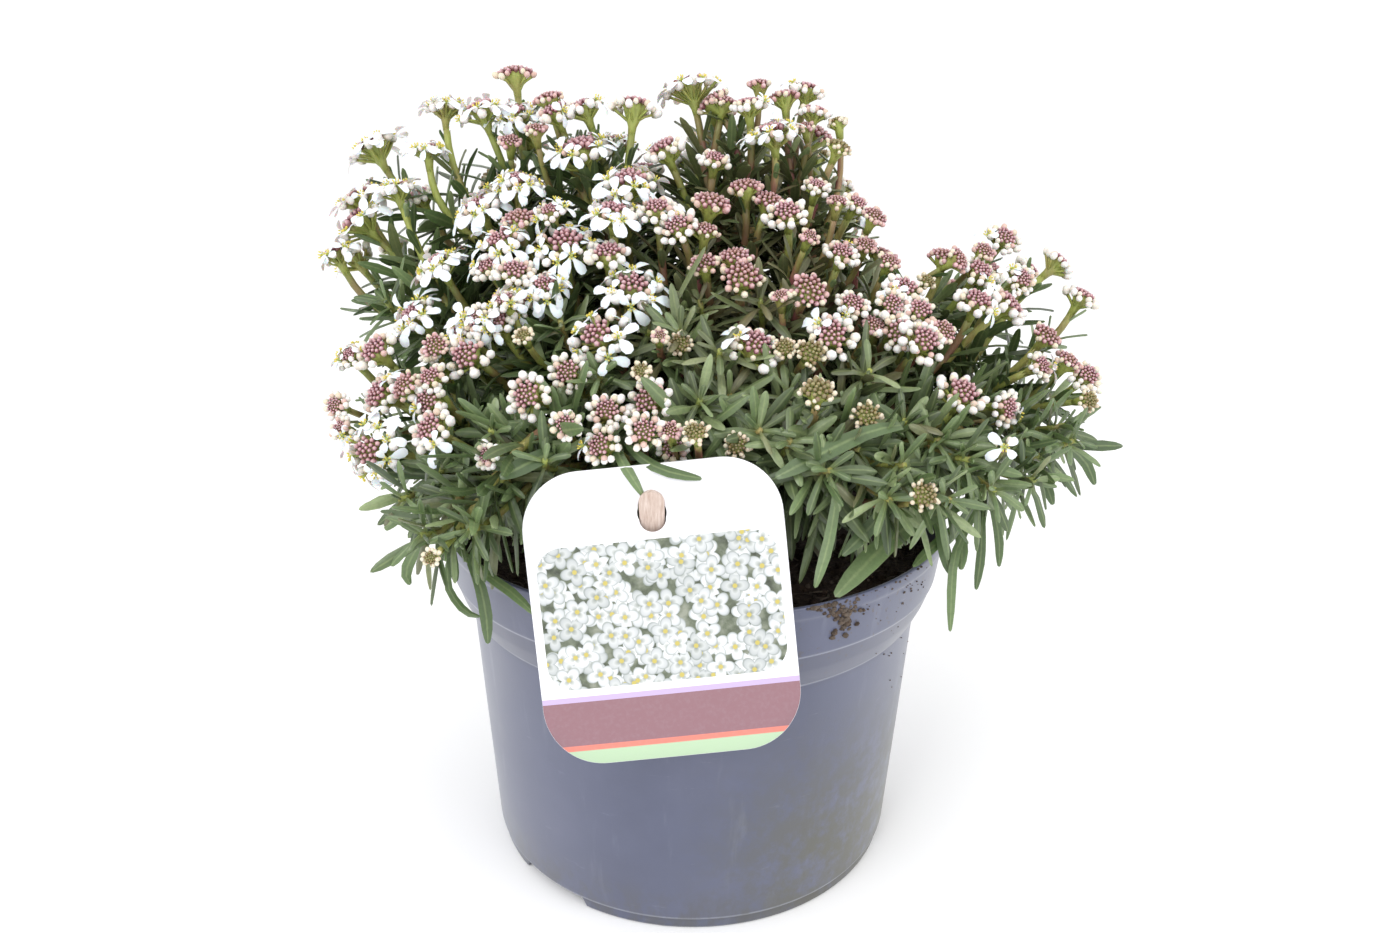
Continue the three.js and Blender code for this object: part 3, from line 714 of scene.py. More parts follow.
def card_material():
    """White glossy card; its front has a panel of plain flowers and stripes at its foot."""
    look = Look("card_print")
    separate = look.node("ShaderNodeSeparateXYZ", {"Vector": look.place()})
    x, y = separate.outputs["X"], separate.outputs["Y"]
    white = srgb(240, 240, 245)
    ground = look.noise(260, 4)
    picture = look.ramp(ground, (0.3, 58, 64, 52), (0.5, 100, 108, 90), (0.7, 142, 146, 132))
    for layer in BLOSSOM_LAYERS:
        picture = blossoms(look, picture, *layer)
    # The panel is a rounded box: past its straight sides, the distance from a corner's centre counts
    square = []
    for value, centre, half in ((x, 0.0, PANEL_HALF[0]), (y, PANEL_CENTRE_Y, PANEL_HALF[1])):
        past = look.maths("SUBTRACT", look.distance_from(value, centre), half - PANEL_CORNER)
        square.append(look.maths("POWER", look.maths("MAXIMUM", past), 2.0))
    inside = look.maths("LESS_THAN", look.maths("ADD", *square), PANEL_CORNER ** 2)
    body = look.mix(inside, white, picture)
    for low, high, colour in STRIPES:
        stripe = look.times(look.maths("GREATER_THAN", y, low), look.maths("LESS_THAN", y, high))
        body = look.mix(stripe, body, srgb(*colour))
    front = look.maths("GREATER_THAN", *look.attributes("tone"), 0.5)
    body = look.mix(front, white, body)
    body = look.mix(look.remap(look.noise(900, 3), 0.4, 0.8, 0.0, 0.06), body, srgb(190, 190, 200))
    look.surface(Base_Color=body, Roughness=0.32)
    look.bump(look.noise(60, 2), 0.12, 0.002)
    return look.material


def floor_material():
    look = Look("floor")
    body = look.mix(look.noise(3, 3), srgb(252, 252, 252), srgb(249, 249, 250))
    look.surface(Base_Color=body, Roughness=0.9)
    return look.material


MATERIALS = {
    "leaf": leaf_material(),
    "stem": stem_material(),
    "bud": bud_material(),
    "petal": petal_material(),
    "centre": centre_material(),
    "bark": bark_material(),
    "soil": soil_material(),
    "pot": pot_material(),
    "wood": wood_material(),
    "card": card_material(),
}


def settle(piece, slot, *nodes):
    """The piece rides on the part's one body and stands for CAD nodes."""
    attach(piece, "root")
    if nodes:
        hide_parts(*nodes)


# Pot

def filleted(profile, radius):
    """A profile with each corner rounded, apart from its two ends."""
    made = [profile[:1]]
    for before, corner, after in zip(profile, profile[1:], profile[2:]):
        corner, ends = np.asarray(corner, float), []
        for side in (before, after):
            reach = min(radius, 0.45 * np.linalg.norm(side - corner))
            ends.append(corner + unit(side - corner) * reach)
        made.append(bezier([ends[0], corner, ends[1]], 4))
    return np.concatenate([*made, profile[-1:]])


def pot_radius(z):
    """The wall's outer radius at a height."""
    band, body = (BAND_FOOT, BAND_LINE, (RIM_RADIUS, POT_HEIGHT)), (BODY_FOOT, BODY_TOP)
    radii, heights = zip(*(band if z > BAND_FOOT[1] else body))
    return np.interp(z, heights, radii)


def pot_inside(place):
    """The place on the wall's inner side at the height of one on its outside."""
    return place[0] - POT_WALL, place[1]


def notched(rings):
    """Cuts the foot ring's notches, and makes the wall a little out of round, as a moulded pot is."""
    angles = angles_round(POT_SEGMENTS)
    reach = np.hypot(rings[..., 0], rings[..., 1])
    off = angles - np.radians(NOTCH_ANGLES)[:, None]
    off = np.abs((off + np.pi) % TURN - np.pi).min(0)
    past_floor = reach > FOOT_RING_RADIUS - FOOT_RING_WALL - NOTCH_CUT_IN
    cut = (off < 0.5 * NOTCH_ARC / FOOT_RING_RADIUS) & past_floor & (rings[..., 2] < NOTCH_HEIGHT)
    rings[..., 2] = np.where(cut, NOTCH_HEIGHT, rings[..., 2])
    swell = 1 + OUT_OF_ROUND * np.sin(3 * angles + 0.7) * np.clip(rings[..., 2] / POT_HEIGHT, 0, 1)
    rings[..., :2] *= swell[..., None]
    return rings


def drill_drains(piece):
    drill = Mesher()
    for degrees in NOTCH_ANGLES:
        place = polar(math.radians(degrees)) * DRAIN_CIRCLE_RADIUS
        tube(drill, place + np.outer([-5, 12], UP), DRAIN_RADIUS, 32)
    cutter = drill.build("drain_cutter", [])
    modifier = piece.modifiers.new("drains", "BOOLEAN")
    modifier.operation = "DIFFERENCE"
    modifier.solver = "EXACT"
    modifier.object = cutter
    graph = bpy.context.evaluated_depsgraph_get()
    drilled = bpy.data.meshes.new_from_object(piece.evaluated_get(graph))
    piece.modifiers.clear()
    piece.data = drilled
    bpy.data.objects.remove(cutter)


def mark_sharp(piece, degrees):
    """Edges that turn by more than an angle are shaded hard."""
    piece.data.shade_smooth()
    piece.data.set_sharp_from_angle(angle=math.radians(degrees))


def make_pot():
    ring_inner = FOOT_RING_RADIUS - FOOT_RING_WALL
    profile = [
        (0, 0), (FOOT_PAD_RADIUS, 0), (FOOT_PAD_RADIUS + 1, FLOOR_UNDERSIDE), (ring_inner, FLOOR_UNDERSIDE),
        (ring_inner, 0), (FOOT_RING_RADIUS, 0), (FOOT_RING_RADIUS, BODY_FOOT[1] - 0.6), BODY_FOOT,
        BODY_MIDDLE, BODY_TOP, BAND_FOOT, BAND_MIDDLE, BAND_LINE, RIM_BAND_FOOT, RIM_BAND_TOP,
        (RIM_RADIUS - 0.05, RIM_BAND_TOP[1] + 1.1), (RIM_RADIUS, POT_HEIGHT - 0.1),
        *(pot_inside(place) for place in ((RIM_RADIUS, POT_HEIGHT), BAND_LINE, BAND_FOOT, BODY_TOP)),
        (BODY_FOOT[0] - POT_WALL, FLOOR_TOP), (0, FLOOR_TOP),
    ]
    rings, start, end = revolved(filleted(np.array(profile), POT_FILLET), POT_SEGMENTS)
    mesher = Mesher()
    mesher.loft(notched(rings), start, end)
    piece = mesher.build("nursery_pot", [MATERIALS["pot"]])
    drill_drains(piece)
    mark_sharp(piece, POT_HARD_EDGE)
    settle(piece, "pot", "pot")


# Soil

LUMP_COUNT = 900
# Sizes and tones, each with how often it comes
LUMP_SIZES = ([0.6, 0.9, 1.3, 2.0], [0.4, 0.33, 0.2, 0.07])
LUMP_TONES = ([0.0, 0.12, 0.3], [0.85, 0.1, 0.05])
CLOD_SIDES = 7
FIBRE_COUNT = 220
# The pale stone that lies on the soil at the front: pixel x, pixel y and y
STONE = (817, 543, -61)
STONE_SIZE = 2.0
STONE_TONE = 0.9


def soil_height(x, y):
    """The lumpy surface that fills the pot to a little below its rim and rises to the crown."""
    reach = math.hypot(x, y) / (pot_radius(SOIL_EDGE) - POT_WALL)
    height = SOIL_EDGE + (SOIL_CENTRE - SOIL_EDGE) * (1 - min(reach, 1) ** 2)
    lumps = noise.fractal(Vector((x, y, 3)) / 9, 0.8, 2.1, 5)
    clods = abs(noise.noise(Vector((x, y, 11)) / 3.2))
    return height + 0.9 * lumps + 0.8 * clods - 0.4


def on_soil(place, rise=0.0):
    return np.array([place[0], place[1], soil_height(place[0], place[1]) + rise])


def clod(rng, place, size, flat=0.7):
    """A rough lump's rings, with uneven radii, and its two ends."""
    angles = angles_round(CLOD_SIDES) + rng.uniform(0, 6)
    rings = []
    for level in np.linspace(-0.75, 0.75, 4):
        radius = size * math.sqrt(1 - level ** 2) * rng.uniform(0.75, 1.15, CLOD_SIDES)
        height = np.full(CLOD_SIDES, size * flat * level)
        rings.append(np.stack([radius * np.cos(angles), radius * np.sin(angles), height], -1))
    tilt = np.array(Matrix.Rotation(rng.uniform(-0.7, 0.7), 3, Vector(unit(rng.normal(size=3)))))
    end = size * flat * UP
    return (shape @ tilt.T + place for shape in (np.array(rings), -end, end))


def make_soil():
    mesher = Mesher()
    edge = pot_radius(SOIL_EDGE) - POT_WALL - SOIL_EDGE_GAP
    levels = (BODY_TOP[1], BAND_FOOT[1], SOIL_EDGE - 3)
    wall = [(BODY_FOOT[0] - POT_WALL - SOIL_GAP, FLOOR_TOP + SOIL_GAP)]
    wall += [(pot_radius(z) - POT_WALL - SOIL_GAP, z) for z in levels]
    wall.append((edge, SOIL_EDGE))
    # The surface's rings get their heights point by point
    surface = [(edge * share, 0) for share in np.linspace(0.985, 0.02, SOIL_RINGS)]
    profile = [(0, FLOOR_TOP + SOIL_GAP), *wall, *surface, (0, 0)]
    rings, foot, middle = revolved(profile, SOIL_SIDES)
    for ring in rings[len(wall):]:
        ring[:] = [on_soil(point) for point in ring]
    mesher.loft(rings, foot, on_soil(middle))
    scatter_soil(mesher, np.random.default_rng(SEED + 1), edge)
    settle(mesher.build("peat_soil", [MATERIALS["soil"]]), "soil", "soil")


def scatter_soil(mesher, rng, edge):
    """Lumps, fibres and bits of bark on the surface, and a stone."""
    for _ in range(LUMP_COUNT):
        reach = edge * math.sqrt(rng.uniform(0.02, 0.97))
        heading = polar(rng.uniform(0, TURN))
        size = rng.choice(LUMP_SIZES[0], p=LUMP_SIZES[1])
        place = on_soil(min(reach, edge - size - 0.5) * heading, 0.3 * size)
        mesher.loft(*clod(rng, place, size), tone=rng.choice(LUMP_TONES[0], p=LUMP_TONES[1]))
    for _ in range(FIBRE_COUNT):
        reach = (edge - 8) * math.sqrt(rng.uniform(0.05, 1))
        middle = on_soil(reach * polar(rng.uniform(0, TURN)), 0.7)
        heading = unit(np.array([*rng.normal(size=2), rng.normal() * 0.12]))
        bend = np.cross(heading, UP) * rng.uniform(-2, 2) + 0.3 * UP
        half = heading * rng.uniform(1.5, 4.5)
        points = spline([middle - half, middle + bend, middle + half], 5)
        tube(mesher, points, rng.uniform(0.12, 0.32), 5, tone=rng.uniform(0.0, 0.25))
    stone = on_soil(on_sight(*STONE), 1.0)
    mesher.loft(*clod(rng, stone, STONE_SIZE, 0.8), tone=STONE_TONE)


# Patches of crumbs on the pot: middle and spread in pixels, number and size
CRUMB_PATCHES = [
    ((838, 608), (15, 3.5), 54, 0.85), ((843, 620), (5, 7), 34, 1.05), ((822, 604), (8, 3), 16, 0.7),
    ((912, 585), (10, 8), 26, 0.45), ((880, 600), (22, 9), 24, 0.35), ((893, 640), (9, 30), 18, 0.3),
]


def on_pot(pixel_x, pixel_y):
    """Where a pixel's line of sight meets the pot, found in steps of about a millimetre, or else None."""
    place = CAMERA_PLACE
    for _ in range(400):
        place = place + sight(pixel_x, pixel_y)
        if place[2] < POT_HEIGHT and math.hypot(place[0], place[1]) < pot_radius(place[2]):
            return place


def make_crumbs():
    """Bits of soil that stick to the rim and band, where the photograph shows them."""
    rng = np.random.default_rng(SEED + 2)
    mesher = Mesher()
    for middle, spread, count, size in CRUMB_PATCHES:
        for _ in range(count):
            place = on_pot(*rng.normal(middle, spread))
            if place is None:
                continue
            grain = size * rng.uniform(0.4, 1.2)
            z = min(place[2], POT_HEIGHT - 0.6)
            place = unit(place * FLAT) * (pot_radius(z) + 0.15 * grain) + UP * z
            mesher.loft(*clod(rng, place, grain), tone=rng.uniform(0.03, 0.22))
    settle(mesher.build("soil_crumbs", [MATERIALS["soil"]]), "soil")


# Card and stick

CARD_SIDES = 180
CARD_EDGE_FILLET = 0.16
SLOT_EDGE_FILLET = 0.12
CARD_HARD_EDGE = 50

# The card turns about the upright axis of its own plane, and leans back
card_rotation = Matrix.Rotation(math.pi / 2 - CARD_LEAN, 4, "X") @ Matrix.Rotation(CARD_TURN, 4, "Z")
card_axes = np.array(card_rotation.to_3x3())
card_middle = np.array((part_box("picture_card")[0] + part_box("picture_card")[1]) / 2) / MM


def in_card(points):
    """Points in the card's own frame: across, up and out of its front."""
    return (np.asarray(points) - card_middle) @ card_axes


def near_card(local, margin):
    """Whether places in the card's frame are beside it, or less than a margin past its edges."""
    x, y = np.abs(local[..., 0]), np.abs(local[..., 1])
    return (x < CARD_WIDTH / 2 + margin) & (y < CARD_HEIGHT / 2 + margin)


def outline(width, height, corner, centre_y, steps):
    """A rounded rectangle, counter-clockwise from its right side."""
    points = []
    for sign_x, sign_y, start in ((1, 1, 0), (-1, 1, 90), (-1, -1, 180), (1, -1, 270)):
        for angle in np.radians(start + np.linspace(0, 90, steps)):
            x = sign_x * (width / 2 - corner) + corner * math.cos(angle)
            y = centre_y + sign_y * (height / 2 - corner) + corner * math.sin(angle)
            points.append((x, y))
    return np.array(points)


def card_bow(x, y):
    """How far the card bows out of its plane."""
    return 0.35 * math.cos(math.pi * x / CARD_WIDTH) + 0.3 * math.sin(y / 24)


def card_section():
    """The card's section from the slot (0) to its edge (1): share, shift and level of each point."""
    half, edge, slot = CARD_THICKNESS / 2, CARD_EDGE_FILLET, SLOT_EDGE_FILLET
    face = np.linspace(0, 1, 13)[1:-1] ** 1.2
    front = [(0, slot, half), *((share, 0, half) for share in face), (1, -edge, half), (1, 0, half - edge)]
    back = [(share, shift, -level) for share, shift, level in front[::-1]]
    return [*front, *back, (0, 0, slot - half), (0, 0, half - slot)]


def make_card():
    centre = np.array([0, SLOT_CENTRE])
    slot = outline(SLOT_WIDTH, SLOT_HEIGHT, SLOT_WIDTH / 2, SLOT_CENTRE, 60) - centre
    # Directions that are even along the outer edge, seen from the slot
    loop = outline(CARD_WIDTH, CARD_HEIGHT, CARD_CORNER, 0, 60)
    loop = np.concatenate([loop, loop[:1]])
    run = lengths(loop)
    even = between(np.arange(CARD_SIDES) / CARD_SIDES * run[-1], run, loop) - centre
    far = np.hypot(*even.T)
    angles = np.arctan2(even[:, 1], even[:, 0])
    near = np.interp(angles, np.arctan2(slot[:, 1], slot[:, 0]), np.hypot(*slot.T), period=TURN)
    heading = np.stack([np.cos(angles), np.sin(angles)], -1)
    points = []
    section = card_section()
    for share, shift, level in section:
        flat = centre + heading * (near + (far - near) * share + shift)[:, None]
        points += [(x, y, level + card_bow(x, y)) for x, y in flat]
    row, here = np.arange(len(section))[:, None], np.arange(CARD_SIDES)[None, :]
    following, after = (row + 1) % len(section), (here + 1) % CARD_SIDES
    corners = [(row, here), (following, here), (following, after), (row, after)]
    quads = np.stack([ring * CARD_SIDES + side for ring, side in corners], -1).reshape(-1, 4)
    front = np.repeat([float(level == CARD_THICKNESS / 2) for _, _, level in section], CARD_SIDES)
    mesher = Mesher()
    mesher.add(np.array(points), quads, np.zeros((0, 3), int), tone=front)
    piece = mesher.build("label_card", [MATERIALS["card"]])
    piece.matrix_world = Matrix.Translation(Vector(card_middle * MM)) @ card_rotation
    mark_sharp(piece, CARD_HARD_EDGE)
    settle(piece, "card", "picture_card")


def make_stick():
    """A flat stick with a round top, through the card's slot."""
    slot = card_middle + card_axes @ np.array([0, SLOT_CENTRE, 0])
    along = unit(slot - STICK_FOOT)
    top = slot + along * STICK_PAST_SLOT
    length = np.linalg.norm(top - STICK_FOOT)
    side = unit(np.array([1.0, 0, 0]) - along[0] * along)
    face = np.cross(side, along)
    half = STICK_WIDTH / 2
    straight = length - half
    rounds = straight + half * np.sin(np.radians([15, 30, 45, 60, 72, 82]))
    rings = []
    for t in (0.0, 0.8, *np.linspace(6, straight, 8), *rounds):
        width = math.sqrt(max(half ** 2 - max(0.0, t - straight) ** 2, 0.01)) - (0.3 if t == 0 else 0)
        section = outline(2 * width, STICK_THICKNESS, min(0.5, 0.9 * width), 0, 4)
        rings.append([STICK_FOOT + along * t + side * x - face * y for x, y in section])
    mesher = Mesher()
    mesher.loft(np.array(rings)[:, ::-1], STICK_FOOT, top)
    settle(mesher.build("wooden_stick", [MATERIALS["wood"]]), "wood", "card_stick")


# The plant's main branches, one for each CAD shoot

SHOOT_COUNT = 18
CROWN_SPREAD = 0.14
CROWN_SINK = 3.3
KNEE_SHARE = 0.45
BRANCH_SAG = 9.0
BRANCH_TO = 0.8
# Leaves keep this far from the pot's wall and from the card's edges and back
WALL_CLEARANCE = 0.6
CARD_CLEARANCE = 0.8
CARD_BACK_CLEARANCE = 1.6
# How far below the outline in the photograph leaf tips and the back stay, in pixels
TIP_BELOW = 5
BACK_BELOW = 22


class Shoot:
    """One main branch with the stems, leaves and flower heads that grow from it."""

    def __init__(self, number):
        self.number = number
        low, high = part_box(f"flower_heads_{number}")
        self.top = np.array((low + high) / 2) / MM
        start = CROWN_PLACE + (self.top - CROWN_PLACE) * CROWN_SPREAD
        start[2] = CROWN_TOP - CROWN_SINK
        knee = start + (self.top - start) * KNEE_SHARE - UP * BRANCH_SAG / 2
        end = start + (self.top - start) * BRANCH_TO
        bend = knee - unit(end - knee) * 0.5 * np.linalg.norm(knee - start)
        self.path = np.concatenate([bezier([start, bend, knee], 14), np.linspace(knee, end, 8)[1:]])
        self.stems, self.leaves, self.flowers = Mesher(), Mesher(), Mesher()
        self.rng = np.random.default_rng(SEED + 100 + int(number))


shoots = [Shoot(f"{i:02d}") for i in range(1, SHOOT_COUNT + 1)]


def nearest_shoot(point):
    return min(shoots, key=lambda shoot: np.linalg.norm((point - shoot.top) * [1, 1, 0.8]))


def blocked(points):
    """Whether any point is in the pot's wall, the soil, the floor or the space of the card."""
    reach = np.hypot(points[:, 0], points[:, 1])
    z = points[:, 2]
    outer = np.array([pot_radius(min(value, POT_HEIGHT)) for value in z])
    by_wall = (reach > outer - POT_WALL - WALL_CLEARANCE) & (reach < outer + WALL_CLEARANCE)
    in_wall = (z < POT_HEIGHT + 0.5) & by_wall
    in_soil = (z < SOIL_CENTRE) & (reach < outer)
    local = in_card(points)
    by_card = near_card(local, CARD_CLEARANCE) & (local[:, 2] > -CARD_BACK_CLEARANCE)
    return (in_wall | in_soil | by_card | (z < 0.5)).any()


def skyline_at(pixel_x):
    return np.interp(pixel_x, *zip(*SKYLINE))


def above_outline(point):
    """Whether a point shows above the plant's upper outline."""
    pixel_x, pixel_y = pixel_of(point)
    return SKYLINE[0][0] < pixel_x < SKYLINE[-1][0] and pixel_y < skyline_at(pixel_x) + TIP_BELOW


# Leaves: narrow, widest near the round tip

LEAF_STATIONS = np.array([0.0, 0.2, 0.45, 0.7, 0.88, 0.97])
LEAF_WIDTHS = np.array([0.3, 0.52, 0.86, 1.0, 0.74, 0.36])
SHORT_LENGTH = 13
SHORT_STATIONS = np.array([0.0, 0.45, 0.82, 0.96])
SHORT_WIDTHS = np.array([0.4, 0.86, 0.96, 0.55])
LEAF_THICKNESS = 0.75
WIDTH_BY_LENGTH = ([7, 14, 28], [1.7, 2.7, 4.0])
RING_SHARP = np.array([True, False, True, False])
RING_ACROSS = np.array([-1.0, 0.0, 1.0, 0.0])
# From a stem's leafy foot (0) to its top (1): degrees from the stem, degrees of bend, and sag
LEAF_ANGLE = ([0, 0.5, 1], [72, 52, 32])
LEAF_BEND = ([0, 0.6, 1], [22, 26, 14])
LEAF_DROOP = ([0, 1], [3.5, 0.4])
# The leaves round this place are tinged brown
BROWN_CENTRE = np.array([28.0, -10.0, 212.0])
BROWN_REACH = 46.0


def blade(mesher, points, side, widths, thickness, fold, material=0, **values):
    """A closed thin blade along points: its edges are raised by fold, a share of its width."""
    spine = points[:-1]
    along = tangents(points)[:-1]
    side = unit(side - (side * along).sum(-1, keepdims=True) * along)
    normal = np.cross(side, along)
    half = side * widths[:, None] / 2
    raised = spine + normal * widths[:, None] * fold
    thick = normal * thickness / 2
    rings = np.stack([raised - half, spine + thick, raised + half, spine - thick], 1)
    values.update(along=np.linspace(0, 1, len(spine))[:, None], across=RING_ACROSS)
    mesher.loft(rings, spine[0], points[-1], material, RING_SHARP, **values)


def leaf_points(place, stem_along, out, length, start_angle, end_angle, droop, stations):
    """Points of a leaf that leaves its stem at one angle and ends at another, and sinks a little."""
    steps = 24
    t = np.linspace(0, 1, steps + 1)
    angle = start_angle + (end_angle - start_angle) * t[:-1] ** 0.8
    heading = np.cos(angle)[:, None] * stem_along + np.sin(angle)[:, None] * out
    points = place + np.concatenate([[np.zeros(3)], np.cumsum(heading, 0) * length / steps])
    return between(np.append(stations, 1.0), t, points - np.outer(t ** 2 * droop, UP))


def add_leaf(shoot, place, stem_along, angle, length, width, start_angle, end_angle, droop, tone=0.0):
    """A leaf on a stem, left out where something is in its way."""
    rng = shoot.rng
    out = polar(angle, *across(stem_along))
    short = length < SHORT_LENGTH
    stations, widths = (SHORT_STATIONS, SHORT_WIDTHS) if short else (LEAF_STATIONS, LEAF_WIDTHS)
    points = leaf_points(place, stem_along, out, length, start_angle, end_angle, droop, stations)
    if blocked(points[1:]) or above_outline(points[-1]):
        return
    side = unit(np.cross(stem_along, out) + rng.normal(0, 0.18) * out)
    fold = rng.uniform(0.04, 0.14)
    vary = np.clip(rng.normal(0.45, 0.26), 0, 1)
    blade(shoot.leaves, points, side, widths * width, LEAF_THICKNESS, fold, tone=tone, vary=vary)


def leafy_zone(shoot, path, low, high, spacing, longest, shortest):
    """Leaves in a spiral round a stem, long and spreading low down, short and steep near the top."""
    rng = shoot.rng
    angle = rng.uniform(0, TURN)
    distance = low
    while distance < high:
        share = (distance - low) / max(high - low, 1)
        place, along = at_length(path, distance)
        length = (longest + (shortest - longest) * share ** 1.6) * rng.uniform(0.85, 1.2)
        start_angle = math.radians(np.interp(share, *LEAF_ANGLE) + rng.normal(0, 6))
        end_angle = start_angle + math.radians(np.interp(share, *LEAF_BEND) + rng.normal(0, 10))
        width = np.interp(length, *WIDTH_BY_LENGTH) * rng.uniform(0.82, 1.15)
        droop = np.interp(share, *LEAF_DROOP) * rng.uniform(0.3, 1.6)
        brown = np.exp(-((place - BROWN_CENTRE) ** 2).sum() / BROWN_REACH ** 2) * rng.uniform(0.3, 0.95)
        brown += 0.35 if rng.uniform() < 0.05 else 0.0
        brown = min(brown + rng.uniform(0, 0.08), 1.0)
        add_leaf(shoot, place, along, angle, length, width, start_angle, end_angle, droop, brown)
        angle += GOLDEN_ANGLE + rng.normal(0, 0.12)
        distance += spacing * rng.uniform(0.75, 1.25)


# Flower heads. Small closed buds fill the centre, a share of the radius; larger ones stand round it
# and in a ring, and open flowers over them. Tones run from green (0) through mauve to white (1).
# A number of flowers below one is the chance of one flower. Flush is added to the stem's purple.

HEAD_KINDS = {
    "open": dict(
        centre=0.5, centre_count=21, centre_tones=(0.34, 0.5), middle_count=6, middle_tones=(0.65, 0.95),
        ring_count=9, ring_tones=(0.9, 1.0), ring_size=2.7, flowers=7, flush=-0.05,
    ),
    "bud": dict(
        centre=0.56, centre_count=25, centre_tones=(0.28, 0.5), middle_count=8, middle_tones=(0.62, 0.92),
        ring_count=11, ring_tones=(0.86, 1.0), ring_size=2.6, flowers=0.35, flush=0.0,
    ),
    "young": dict(
        centre=0.8, centre_count=30, centre_tones=(0.16, 0.4), middle_count=5, middle_tones=(0.55, 0.8),
        ring_count=6, ring_tones=(0.5, 0.82), ring_size=2.2, flowers=0, flush=0.2,
    ),
    "green": dict(
        centre=0.75, centre_count=24, centre_tones=(0.0, 0.1), middle_count=5, middle_tones=(0.7, 0.78),
        ring_count=9, ring_tones=(0.72, 0.8), ring_size=1.9, flowers=0, flush=0.0,
    ),
    "single": dict(
        centre=0.25, centre_count=4, centre_tones=(0.3, 0.45), middle_count=1, middle_tones=(0.55, 0.8),
        ring_count=2, ring_tones=(0.8, 0.95), ring_size=2.2, flowers=1, flush=0.0,
    ),
}
BUD, PETAL, CENTRE, PEDICEL = range(4)
HEAD_DOME = 0.42
SMALL_HEAD = 5
PETAL_STATIONS = np.array([0.0, 0.22, 0.45, 0.72, 0.93, 1.0])
PETAL_WIDTHS = np.array([0.2, 0.4, 0.84, 1.0, 0.72])
# Each petal's angle from the head's outer side, its share of the flower's size, and its width to length
PETALS = [(-38, 1.0, 0.52), (38, 1.0, 0.52), (142, 0.62, 0.66), (-142, 0.62, 0.66)]
PETAL_THICKNESS = 0.22


def open_flower(mesher, rng, place, facing, outward, size):
    """Two large outer petals, two small inner ones, and a yellow-green middle."""
    outward = unit(outward - (outward @ facing) * facing)
    sideways = np.cross(facing, outward)
    t = PETAL_STATIONS
    for degrees, scale, width in PETALS:
        heading = polar(math.radians(degrees + rng.normal(0, 7)), outward, sideways)
        length = size * scale * rng.uniform(0.92, 1.08)
        lift = rng.uniform(0.1, 0.3) * length
        fall = rng.uniform(0.05, 0.38) * length
        height = lift * np.sin(t * np.pi * 0.6) - fall * t ** 3
        points = place + np.outer(t * length + 0.4, heading) + np.outer(height, facing)
        fold = rng.uniform(-0.08, 0.1)
        side = np.cross(facing, heading)
        widths = PETAL_WIDTHS * length * width
        blade(mesher, points, side, widths, PETAL_THICKNESS, fold, PETAL, vary=rng.uniform())
    parts = Copies()
    parts.add(place - facing * 0.3, facing, 1.1, 1.5, 0.1)
    for k in range(6):
        lean = polar(k * np.pi / 3 + rng.uniform(-0.2, 0.2), outward, sideways)
        tone = rng.uniform(0.7, 1)
        parts.add(place + lean * 0.8 + facing * 0.7, unit(facing + 0.5 * lean), 0.55, 1.0, tone)
    parts.stamp(mesher, SMALL_BUD, CENTRE)


def pedicel(mesher, foot, stem_along, place, heading, rng):
    """A thin stalk from the stem's top to a bud or flower."""
    length = np.linalg.norm(place - foot)
    points = bezier([foot, foot + stem_along * 0.4 * length, place - heading * 0.3 * length, place], 4)
    tube(mesher, points, [0.62, 0.5, 0.42, 0.5], 4, PEDICEL, tone=0.0, vary=rng.uniform(0.5, 1))


def head_foot(place, axis, radius):
    """Where a head's stem ends and its stalks part."""
    return place - axis * (0.75 * radius + 2.2)


def flower_count(rng, wanted, radius):
    """A number near the wanted one; below one it is a chance."""
    if wanted > 1:
        count = wanted + rng.integers(-1, 2)
        return min(count, 4) if radius < SMALL_HEAD else count
    return int(rng.uniform() < wanted) if wanted < 1 else wanted


